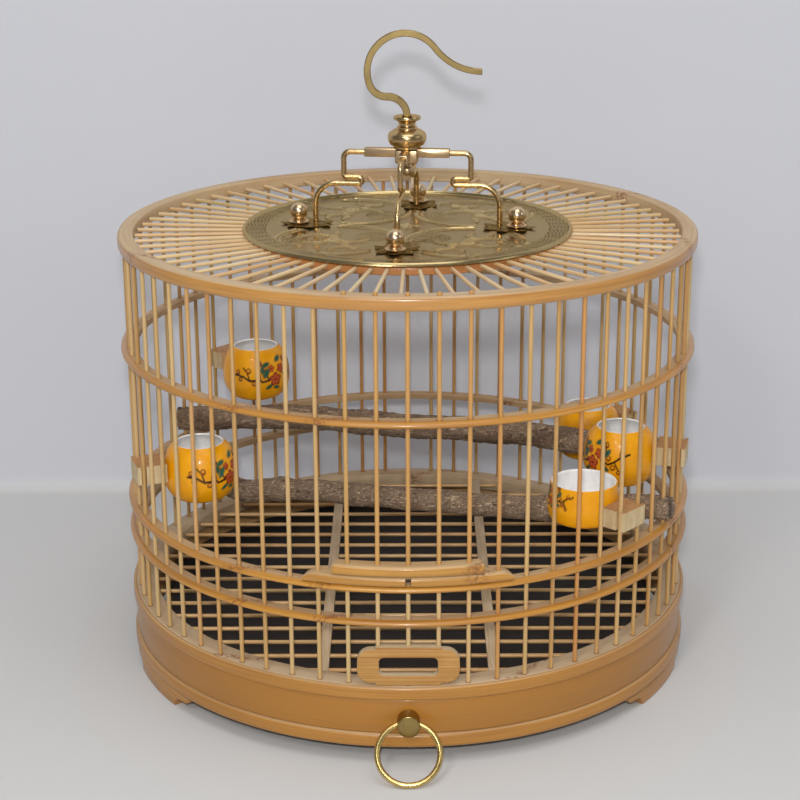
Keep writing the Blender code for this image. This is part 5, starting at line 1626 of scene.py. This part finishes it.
        corner = self.shoulder - self.shoulder_bend
        extrude(corner - self.arm_start, 0.0, 0.0)
        bend(corner, self.arm_height - self.shoulder_bend, 90.0, 8)
        extrude(0.0, 0.0, (upper + half) - (self.arm_height - self.shoulder_bend))
        bend(self.shoulder - half, upper + half, 90.0, 5)
        extrude(self.hairpin_reach - (self.shoulder - half), 0.0, 0.0)
        bend(self.hairpin_reach, lower + half, -180.0, 10)
        extrude(self.foot_reach - self.foot_bend - self.hairpin_reach, 0.0, 0.0)
        bend(self.foot_reach - self.foot_bend, lower - self.foot_bend, 90.0, 12)
        extrude(0.0, 0.0, self.petal_top + self.seat_gap - (lower - self.foot_bend))
        close_up(item)
        shift(item, swing(azimuth - 90.0))
        enter(dress(item, material, smooth=60.0), Body.CAGE, "polished_brass", f"arm_{name}")

    def _cross(self, material: Finish) -> None:
        """Build the cross of four square sleeves with its core and finial."""
        half = self.cross_half
        z = self.arm_height
        foot = z - self.core_depth
        core = block("core", (-0.007, -0.007, foot), (0.007, 0.007, z + 0.0024), 0.0009, 3)
        reach = self.cross_reach
        for low, high in (((-reach, -half, z - half), (reach, half, z + half)),
                          ((-half, -reach, z - half), (half, reach, z + half))):
            combine(core, block("sleeve", low, high, 0.0005), "UNION")
        bore = self.arm_radius + self.seat_gap
        bores = [rod("bore", bore, polar(0.0190, azimuth, z), polar(0.03, azimuth, z), 20)
                 for azimuth in (0.0, 90.0, 180.0, 270.0)]
        combine(core, join("bores", bores))
        core.name = core.data.name = "arm_cross"
        shift(core, swing(self.turn))
        enter(dress(core, material, smooth=25.0), Body.CAGE, "polished_brass", "hanger_cross")
        line = [(0.0, -0.0003), (0.0032, -0.0003), (0.0032, -0.001), (0.0022, -0.0014)]
        line += smooth_profile([(0.0022, -0.0024), (0.0034, -0.0044), (0.0031, -0.0074), (0.0, -0.0092)], 6)
        item = turned("small_finial", [(radius, foot + drop) for radius, drop in line], (0.0, 0.0), 32)
        enter(dress(item, material, smooth=40.0), Body.CAGE, "polished_brass", "hub_finial")

    def _hub(self, material: Finish) -> None:
        """Build the turned hub with its bulb, neck and dished lip."""
        shares = [(0.71, 0.0), (0.72, 0.03), (0.72, 0.07)]
        shares += smooth_profile([(0.86, 0.11), (0.97, 0.22), (1.0, 0.345), (0.94, 0.47), (0.68, 0.585)], 5)
        shares += [(0.53, 0.605), (0.52, 0.63), (0.53, 0.665)]
        shares += smooth_profile([(0.44, 0.70), (0.435, 0.77), (0.5, 0.85), (0.68, 0.9)], 4)
        shares += [(0.705, 0.925), (0.705, 0.965), (0.68, 1.0), (0.56, 0.985), (0.42, 0.93), (0.2857, 0.93)]
        line = [(self.hub_radius * r, self.hub_base + self.hub_height * h) for r, h in shares]
        line += [(0.0035, self.hub_base + 0.0062), (0.0062, self.hub_base + 0.006), (0.0062, self.hub_base)]
        item = trace("turned_hub", [Vector((radius, 0.0, height)) for radius, height in line])
        spin_round(item, 64)
        enter(dress(item, material, smooth=40.0), Body.CAGE, "polished_brass", "hub")

    def _bends(self, base: float) -> Iterator[tuple[Vector, float, float, float]]:
        """Yield the centre, signed radius, first heading and turn of each of the hook's bends.

        Args:
            base: Height at which the bar starts to bend.

        Yields:
            The bend's values, with the heading in radians and the turn in degrees.
        """
        place, heading = Vector((0.0, 0.0, base)), math.pi / 2
        for size, turn in self.hook_bends:
            radius = math.copysign(size, turn)
            centre = place + radius * Vector((-math.sin(heading), 0.0, math.cos(heading)))
            yield centre, radius, heading, turn
            heading += math.radians(turn)
            place = centre + radius * Vector((math.sin(heading), 0.0, -math.cos(heading)))

    def _taper(self, item: Piece, base: float) -> None:
        """Draw the bent bar thinner from its foot to its tip."""
        route = []
        for centre, radius, heading, turn in self._bends(base):
            steps = round(abs(turn))
            for step in range(steps + 1):
                angle = heading + math.radians(turn * step / steps)
                route.append(centre + radius * Vector((math.sin(angle), 0.0, -math.cos(angle))))

        def thin(point: Vector) -> Vector:
            """Draw a point in towards the nearest place of the route."""
            flat = Vector((point.x, 0.0, point.z))
            index = min(range(len(route)), key=lambda number: (route[number] - flat).length)
            size = 1.0 - 0.18 * (index / len(route)) ** 2
            return route[index] + (point - route[index]) * size

        mould(item, thin)

    def _hook(self) -> None:
        """Bend the square bar of the hook in one plane."""
        base = self.hub_base + self.hub_height
        release()
        bpy.ops.mesh.primitive_plane_add(size=2 * self.hook_half_width, location=(0.0, 0.0, base))
        item = settle("square_hook")
        work_on(item, "FACE")
        for centre, _, _, turn in self._bends(base):
            steps = max(6, round(abs(turn) / 4.0))
            bpy.ops.mesh.spin(steps=steps, angle=math.radians(turn), center=centre, axis=(0.0, 1.0, 0.0))
        close_up(item)
        self._taper(item, base)
        soften(item, 0.00038, 1, 50.0)
        head = block("head", (-0.0036, -0.0036, 0.3377), (0.0036, 0.0036, 0.3397), 0.0003)
        stem = rod("stem", 0.0032, Vector((0.0, 0.0, 0.3390)), Vector((0.0, 0.0, base + 0.0005)), 32)
        item = join("square_hook", [item, head, stem])
        finish = BrassFinish("brushed hook brass", "a28b5c", "75633a", tarnish_share=0.55,
                             roughness=0.3, brush_scale=(1.2, 0.3, 1.2))
        enter(dress(item, finish.make(), smooth=18.0), Body.HOOK, "polished_brass", "hook")


@dataclass
class Cups:
    """Five glazed cups with their wooden wall blocks."""

    nodes: dict[str, Piece]
    radius: float = 0.0236
    height: float = 0.040
    foot_lift: float = 0.0024
    lip_round: float = 0.0007
    low_radius: float = 0.022
    low_height: float = 0.025
    places: dict[str, tuple[float, float, float]] = field(default_factory=lambda: {
        "back_left": (-23.5, 0.1757, 0.1457),
        "left": (-12.5, 0.1548, 0.1414),
        "back_right": (21.5, 0.1375, 0.1479),
        "right": (13.5, 0.1600, 0.1413),
        "front_low": (8.5, 0.1467, 0.1454),
    })
    outer: tuple[Point, ...] = (
        (0.54, 0.0), (0.78, 0.08), (0.96, 0.27), (1.0, 0.47), (0.955, 0.7), (0.84, 0.89), (0.66, 1.0),
    )
    inner: tuple[Point, ...] = (
        (0.615, 1.0), (0.79, 0.88), (0.89, 0.7), (0.93, 0.45), (0.86, 0.25), (0.5, 0.1), (0.0, 0.085),
    )
    low_outer: tuple[Point, ...] = ((0.82, 0.0), (0.93, 0.07), (0.99, 0.25), (1.0, 0.5), (0.93, 1.0))
    low_inner: tuple[Point, ...] = ((0.84, 1.0), (0.89, 0.5), (0.82, 0.2), (0.7, 0.13), (0.0, 0.12))
    motif_turns: dict[str, float] = field(default_factory=lambda: {
        "back_left": 42.0, "left": 62.0, "back_right": 150.0, "right": -52.0, "front_low": -66.0,
    })

    def build(self) -> None:
        """Build and dress the cups and blocks."""
        glaze = GlazeFinish("yellow glaze").make()
        white = WhiteGlazeFinish("white glaze").make()
        wood = BoardFinish("block wood", "d4bd92", "bfa478", "bb8a58", "a47444", Grain.UP,
                           across=0.35, along=0.1, roughness=0.6).make()
        for name, (space, rim, distance) in self.places.items():
            low = name == "front_low"
            radius = self.low_radius if low else self.radius
            height = self.low_height if low else self.height
            outer = self.low_outer if low else self.outer
            inner = self.low_inner if low else self.inner
            centre = polar(distance, space * BAR_PITCH, 0.0)
            if not low:
                height -= self.foot_lift
            base = rim - height
            outside = smooth_profile([(radius * r, base + height * h) for r, h in outer], 13)
            inside = smooth_profile([(radius * r, base + height * h) for r, h in inner], 5)
            half = (outside[-1][0] - inside[0][0]) / 2
            lip_middle = (outside[-1][0] - half, outside[-1][1] - self.lip_round)
            lip = arc(lip_middle, (half, self.lip_round), 0.0, 180.0, 6)
            profile = [(0.0, base + 0.0004), (outside[0][0] - 0.0012, base), *outside[:-1], *lip, *inside[1:]]
            item = dress(turned(f"{name}_cup", profile, centre, 224), glaze, white, smooth=50.0)
            self._share_glaze(item, centre, base, height)
            self._paint(item, centre, base, radius, self.motif_turns[name], low)
            enter(item, Body.CAGE, "glaze", f"cup_{name}")
            recolour(self.nodes[f"block_{name}"], wood)

    def _share_glaze(self, item: Piece, centre: Vector, base: float, height: float) -> None:
        """Give the outside its yellow glaze, and the inside, lip and foot the white one."""
        for face in item.data.polygons:
            out = Vector((face.center.x - centre.x, face.center.y - centre.y, 0.0))
            outward = face.normal.dot(out.normalized()) if out.length > 0.0001 else 0.0
            low_limit = 0.4 if face.center.z > base + height - 0.0008 else 0.12
            face.material_index = 0 if outward > low_limit and face.center.z > base + 0.0004 else 1

    def _paint(self, item: Piece, centre: Vector, base: float, radius: float, turn: float,
               low: bool) -> None:
        """Paint a blossoming branch on the outside as a colour attribute.

        Args:
            item: The cup.
            centre: A point of the cup's axis.
            base: Height of the cup's foot.
            radius: The cup's largest radius.
            turn: Azimuth of the branch's middle.
            low: Whether the cup is the low one, with a smaller branch.
        """
        places = vertex_places(item)
        angle = np.arctan2(places[:, 0] - centre.x, -(places[:, 1] - centre.y)) - math.radians(turn)
        angle = np.mod(angle + math.pi, math.tau) - math.pi
        height = (places[:, 2] - base) * MILLIMETRES - (6.0 if low else 3.6)
        note(item, "motif", Motif(angle * radius * MILLIMETRES, height, 0.66 if low else 1.0).draw())


@dataclass
class Motif:
    """Plain branch with five-petalled blossoms, buds and leaves, drawn over points in millimetres.

    A point lies at u round the cup from the motif's middle, and at v above the foot.
    """

    u: np.ndarray
    v: np.ndarray
    scale: float
    colour: np.ndarray = field(init=False)

    def draw(self) -> np.ndarray:
        """Draw the motif and return a row with the colour and the cover of each point."""
        self.colour = np.zeros((len(self.u), 4))
        k = self.scale
        branches = (
            (((-6, 14), (-11, 13), (-13, 15), (-20, 14), (-25, 17), (-31, 18)), 0.42),
            (((-20, 14), (-22, 20), (-25, 23)), 0.22),
            (((6, 17), (11, 15), (15, 17), (19, 20), (25, 22)), 0.42),
            (((15, 17), (17, 13), (18, 11)), 0.22),
            (((-6, 14), (-9, 20), (-12, 27)), 0.3),
            (((6, 17), (9, 23), (8, 28)), 0.3),
        )
        for points, width in branches:
            for (x0, y0), (x1, y1) in zip(points, points[1:]):
                self._stroke((x0 * k, y0 * k), (x1 * k, y1 * k), width * k)
        buds = ((-29, 20, 1.3), (-27, 15, 1.2), (-21, 21, 1.6), (-17, 12, 1.4), (-14, 17, 1.5),
                (-13, 26, 1.6), (11, 19, 1.5), (14, 13, 1.5), (18, 10, 1.2), (20, 22, 1.5), (9, 27, 1.5),
                (-10, 22, 1.8))
        for x, y, size in buds:
            self._bud((x * k, y * k), size * k)
        for x, y, size, turn in ((-1, 14, 5.4, 0.3), (4, 21, 3.8, 0.9), (-4, 22, 3.0, 0.1)):
            self._blossom((x * k, y * k), size * k, turn)
        leaves = ((-8, 19, 4.8, 1.0), (-6, 9, 3.6, 0.5), (9, 12, 3.8, -0.5), (10, 22, 4.2, 0.9),
                  (-8, 25, 4.0, 0.3), (3, 28, 4.2, 0.4), (-11, 21, 3.4, 1.7), (0, 8, 3.4, -0.2))
        for x, y, size, turn in leaves:
            self._leaf((x * k, y * k), size * k, turn)
        return self.colour

    def _cover(self, mask: np.ndarray, code: str) -> None:
        """Lay one colour over the points under a mask."""
        share = np.clip(mask, 0.0, 1.0)[:, None]
        self.colour[:, :3] = self.colour[:, :3] * (1.0 - share) + np.array(paint(code)[:3]) * share
        self.colour[:, 3] = np.maximum(self.colour[:, 3], share[:, 0])

    def _stroke(self, start: Point, end: Point, width: float) -> None:
        """Draw a straight brown stroke with soft edges."""
        u, v = self.u - start[0], self.v - start[1]
        run = (end[0] - start[0], end[1] - start[1])
        share = np.clip((u * run[0] + v * run[1]) / (run[0] ** 2 + run[1] ** 2), 0.0, 1.0)
        away = np.hypot(u - share * run[0], v - share * run[1])
        self._cover((width + 0.5 - away) / 0.4, "240e08")

    def _blossom(self, centre: Point, size: float, turn: float) -> None:
        """Draw a five-petalled blossom with a dark heart."""
        u, v = self.u - centre[0], self.v - centre[1]
        away, angle = np.hypot(u, v), np.arctan2(v, u)
        edge = size * (0.72 + 0.28 * np.abs(np.cos(2.5 * (angle - turn))))
        rings = 0.5 + 0.5 * np.cos(away * (9.0 / size) + 3.0 * np.sin(5.0 * angle))
        self._cover((edge - away) / 0.5, "8e1b10")
        self._cover(np.clip((edge * 0.85 - away) / 0.5, 0.0, 1.0) * rings * 0.8, "e0702a")
        self._cover((size * 0.16 - away) / 0.4, "42100a")

    def _bud(self, centre: Point, size: float) -> None:
        """Draw a round red bud as a thin ring with a filled lower half."""
        red = "7a160c"
        away = np.hypot(self.u - centre[0], self.v - centre[1])
        self._cover((0.55 - np.abs(away - size)) / 0.35, red)
        lower = np.clip((centre[1] - self.v) / 0.5, 0.0, 1.0)
        self._cover(np.clip((size - away) / 0.4, 0.0, 1.0) * lower * 0.8, red)

    def _leaf(self, centre: Point, size: float, turn: float) -> None:
        """Draw a small green leaf."""
        u, v = self.u - centre[0], self.v - centre[1]
        x = u * math.cos(turn) + v * math.sin(turn)
        y = -u * math.sin(turn) + v * math.cos(turn)
        away = np.hypot(x / size, y / (size * 0.5))
        self._cover((1.0 - away) * 2.5, "2f6148")
        self._cover(np.clip(1.0 - np.abs(y) / 0.25, 0.0, 1.0) * (away < 0.9), "24402c")


@dataclass
class Perch:
    """One natural branch with bark, knots and cut ends."""

    name: str
    node: str
    radius: float
    height: float
    bars: tuple[int, int]
    end_rise: float
    shares: tuple[tuple[float, float, float], ...]
    knots: tuple[tuple[float, float, float], ...]
    seed: float
    overhang: float = 0.0052
    notch_half: float = 0.0017

    def _route(self) -> tuple[list[Vector], list[tuple[Vector, Vector]]]:
        """Return the branch's route, and the bar and outward direction at each end."""
        circle = BAR_CIRCLE / MILLIMETRES
        thick = 2 * self.radius
        inner = [Vector((x * circle, y * circle, self.height + rise * thick)) for x, y, rise in self.shares]
        rises = (0.0, self.end_rise * thick)
        ends = []
        for bar, rise, beside in zip(self.bars, rises, (inner[0], inner[-1])):
            place = polar(circle, bar * BAR_PITCH, self.height + rise)
            outward = (place - beside).to_2d().normalized().to_3d()
            ends.append((place, outward))
        tips = [place + self.overhang * outward for place, outward in ends]
        return [tips[0], *inner, tips[1]], ends

    def build(self, material: Finish) -> None:
        """Build the branch along its route, carve its bark and notch its ends.

        Args:
            material: The bark.
        """
        points, ends = self._route()
        release()
        bpy.ops.curve.primitive_nurbs_path_add()
        item = bpy.context.object
        curve = item.data
        curve.splines.clear()
        spline = curve.splines.new("BEZIER")
        spline.bezier_points.add(len(points) - 1)
        for knot, place in zip(spline.bezier_points, points):
            knot.co = place
            knot.handle_left_type = knot.handle_right_type = "AUTO"
        curve.dimensions = "3D"
        curve.resolution_u = 44
        curve.bevel_depth = self.radius
        curve.bevel_resolution = 16
        curve.use_fill_caps = True
        hold(item)
        bpy.ops.object.convert(target="MESH")
        item = settle(self.name)
        work_on(item, "VERT")
        close_up(item)
        self._carve(item, (points[0], points[-1]))
        half, thick = self.notch_half, 2 * self.radius
        for place, outward in ends:
            tool = block("notch", (-half, -half, -thick), (2 * self.overhang, half, thick))
            turn = Matrix.Rotation(math.atan2(outward.y, outward.x), 4, "Z")
            combine(item, shift(tool, turn, Matrix.Translation(place)))
        enter(dress(item, material, smooth=80.0), Body.CAGE, "bark", self.node)

    def _carve(self, item: Piece, tips: tuple[Vector, Vector]) -> None:
        """Push the surface in and out as bark, and note how deep and how bare it is."""
        mesh = item.data
        normals = [vertex.normal.copy() for vertex in mesh.vertices]
        depth, bare = np.zeros(len(normals)), np.zeros(len(normals))
        along = (tips[1] - tips[0]).normalized()
        offset = Vector((self.seed, self.seed * 1.7, -self.seed))
        for index, (vertex, normal) in enumerate(zip(mesh.vertices, normals)):
            place = vertex.co * MILLIMETRES
            near = min((vertex.co - tip).length for tip in tips) < self.radius * 1.05
            stretched = Vector((place.x * 0.09, place.y * 0.42, place.z * 0.42)) + offset
            furrow = 1.0 - 2.2 * abs(noise.fractal(stretched, 1.0, 2.0, 3))
            lump = noise.noise(place * 0.05 + offset)
            grit = noise.noise(place * 0.5 + offset)
            move = 0.75 * furrow + 1.1 * lump + 0.5 * grit - 0.4
            for x, size, push in self.knots:
                away = abs(vertex.co.x - x) / size
                if away < 1.0:
                    move += push * (1.0 - away * away) ** 2
            if near and abs(normal.dot(along)) > 0.85:
                bare[index] = 1.0
                move = -0.1
            vertex.co = vertex.co + normal * (0.001 * (move - 0.45))
            depth[index] = 0.35 + 0.5 * furrow + 0.3 * grit
        note(item, "depth", depth)
        note(item, "bare", bare)
        mesh.update()


def perches() -> tuple[Perch, Perch]:
    """Return the two perches, with routes in shares of the bar circle."""
    rear = Perch(
        "rear_branch", "perch_rear", radius=0.0088, height=0.125, bars=(-21, 17), end_rise=-0.1,
        shares=((-0.67, 0.475, 0.02), (-0.42, 0.468, 0.03), (-0.03, 0.372, 0.03), (0.28, 0.324, 0.0),
                (0.50, 0.268, -0.03), (0.665, 0.2, -0.06), (0.83, 0.14, -0.1)),
        knots=((-0.095, 0.014, 0.7), (-0.03, 0.012, 0.6), (0.06, 0.02, 0.5)), seed=3.1,
    )
    front = Perch(
        "front_branch", "perch_front", radius=0.0080, height=0.1004, bars=(-21, 11), end_rise=1.45,
        shares=((-0.77, 0.335, 0.0), (-0.637, 0.131, -0.4), (-0.486, 0.109, -0.27), (0.006, -0.085, 0.1),
                (0.475, -0.26, 0.48), (0.558, -0.315, 0.72), (0.677, -0.363, 0.97), (0.8, -0.42, 1.27)),
        knots=((-0.085, 0.009, 1.2), (0.09, 0.015, 0.6)), seed=8.4,
    )
    return rear, front


# Studio


@dataclass
class Studio:
    """Pale floor and wall, soft lamps and the camera."""

    floor_colour: str = "cfcecc"
    wall_colour: str = "d3d4da"
    reach: float = 3.0
    wall_distance: float = 0.27
    cove: float = 0.012
    world_level: float = 0.34
    glossy_level: float = 0.42
    focal_pixels: float = 1825.29
    frame_pixels: float = 800.0
    sensor: float = 36.0
    camera_place: tuple[float, float, float] = (0.00034, -1.14409, 0.54413)
    pitch: float = 0.319
    yaw: float = -0.0048
    roll: float = -0.0041

    def build(self) -> None:
        """Set up the whole studio."""
        self._ground()
        self._world()
        self._lamps()
        self._camera()

    def _ground(self) -> None:
        """Sweep one sheet from the floor up the wall, with a soft crease."""
        crease = (self.wall_distance - self.cove, self.cove)
        line = [(-self.reach, 0.0), *arc(crease, (self.cove, self.cove), -90.0, 0.0, 8),
                (self.wall_distance, self.reach)]
        item = trace("studio_sweep", [Vector((-self.reach, y, z)) for y, z in line], closed=False)
        select_all()
        extrude(2 * self.reach, 0.0, 0.0)
        select_all()
        bpy.ops.mesh.normals_make_consistent(inside=False)
        bpy.ops.object.mode_set(mode="OBJECT")
        graph = Graph("pale sweep")
        at = graph.place()
        rise = at.z.rise(0.0, 12.0)
        tone = graph.noise(at.vector, 0.004, 3.0, 0.5)
        colour = graph.blend(rise, self.floor_colour, self.wall_colour)
        colour = graph.blend(tone * 0.12, colour, "bfc0c2")
        floor = min(item.data.polygons, key=lambda face: face.center.z)
        if floor.normal.z < 0.0:
            item.data.flip_normals()
        front = graph.node("ShaderNodeBsdfPrincipled", None, {"Base Color": colour, "Roughness": 0.85})
        back = graph.node("ShaderNodeBsdfTransparent")
        behind = graph.node("ShaderNodeNewGeometry").outputs["Backfacing"]
        mixed = graph.node("ShaderNodeMixShader", None, {0: behind, 1: front.outputs[0], 2: back.outputs[0]})
        graph.node("ShaderNodeOutputMaterial", None, {"Surface": mixed.outputs[0]})
        dress(item, graph.material, smooth=60.0)

    def _world(self) -> None:
        """Light the scene evenly from all around."""
        world = bpy.data.worlds.new("studio")
        bpy.context.scene.world = world
        world.use_nodes = True
        tree = world.node_tree
        background = tree.nodes["Background"]
        background.inputs["Color"].default_value = (0.95, 0.97, 1.0, 1.0)
        path = tree.nodes.new("ShaderNodeLightPath")
        level = tree.nodes.new("ShaderNodeMath")
        level.operation = "MULTIPLY_ADD"
        level.inputs[1].default_value = self.world_level * (self.glossy_level - 1.0)
        level.inputs[2].default_value = self.world_level
        tree.links.new(path.outputs["Is Glossy Ray"], level.inputs[0])
        tree.links.new(level.outputs[0], background.inputs["Strength"])

    def _lamp(self, name: str, azimuth: float, elevation: float, distance: float, size: Point,
              power: float, aim: float = 0.16) -> None:
        """Hang one rectangular lamp that faces the cage."""
        light = bpy.data.lights.new(name, "AREA")
        light.shape = "RECTANGLE"
        light.size, light.size_y = size
        light.energy = power
        item = bpy.data.objects.new(name, light)
        bpy.context.collection.objects.link(item)
        flat = distance * math.cos(math.radians(elevation))
        item.location = polar(flat, azimuth, aim + distance * math.sin(math.radians(elevation)))
        toward = Vector((0.0, 0.0, aim)) - item.location
        item.rotation_euler = toward.to_track_quat("-Z", "Y").to_euler()

    def _lamps(self) -> None:
        """Hang the lamp above the camera, a second one beside it and a soft one overhead."""
        self._lamp("front", -0.5, 22.0, 1.26, (0.05, 0.05), 6.2)
        self._lamp("key", -18.0, 38.0, 2.0, (0.3, 0.3), 5.5)
        self._lamp("top", 10.0, 72.0, 1.8, (1.2, 1.2), 9.0)
        self._lamp("side", 70.0, 25.0, 2.2, (0.9, 0.9), 2.5)

    def _camera(self) -> None:
        """Place the camera as the photograph was taken."""
        level = math.cos(self.pitch)
        forward = Vector((math.sin(self.yaw) * level, math.cos(self.yaw) * level, -math.sin(self.pitch)))
        right = Vector((math.cos(self.yaw), -math.sin(self.yaw), 0.0))
        up = right.cross(forward)
        turned_right = math.cos(self.roll) * right + math.sin(self.roll) * up
        turned_up = -math.sin(self.roll) * right + math.cos(self.roll) * up
        data = bpy.data.cameras.new("photograph")
        data.sensor_width = self.sensor
        data.sensor_fit = "HORIZONTAL"
        data.lens = self.focal_pixels * self.sensor / self.frame_pixels
        data.clip_start = 0.05
        camera = bpy.data.objects.new("photograph", data)
        bpy.context.collection.objects.link(camera)
        turn = Matrix((turned_right, turned_up, -forward)).transposed()
        camera.matrix_world = Matrix.Translation(self.camera_place) @ turn.to_4x4()
        bpy.context.scene.camera = camera
        bpy.context.scene.view_settings.view_transform = "Standard"


def main() -> None:
    """Build every sub-assembly in order."""
    logging.basicConfig(level=logging.INFO, format="%(name)s: %(message)s")
    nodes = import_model()["nodes"]
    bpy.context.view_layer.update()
    Studio().build()
    base = Base()
    base.build()
    Grate().build()
    Drawer(base).build()
    wall = Wall()
    wall.build()
    Door(wall).build()
    PortPlate().build()
    Roof().build()
    Hanger(nodes).build()
    Cups(nodes).build()
    bark = BarkFinish("bark").make()
    for perch in perches():
        perch.build(bark)


if __name__ == "__main__":
    main()
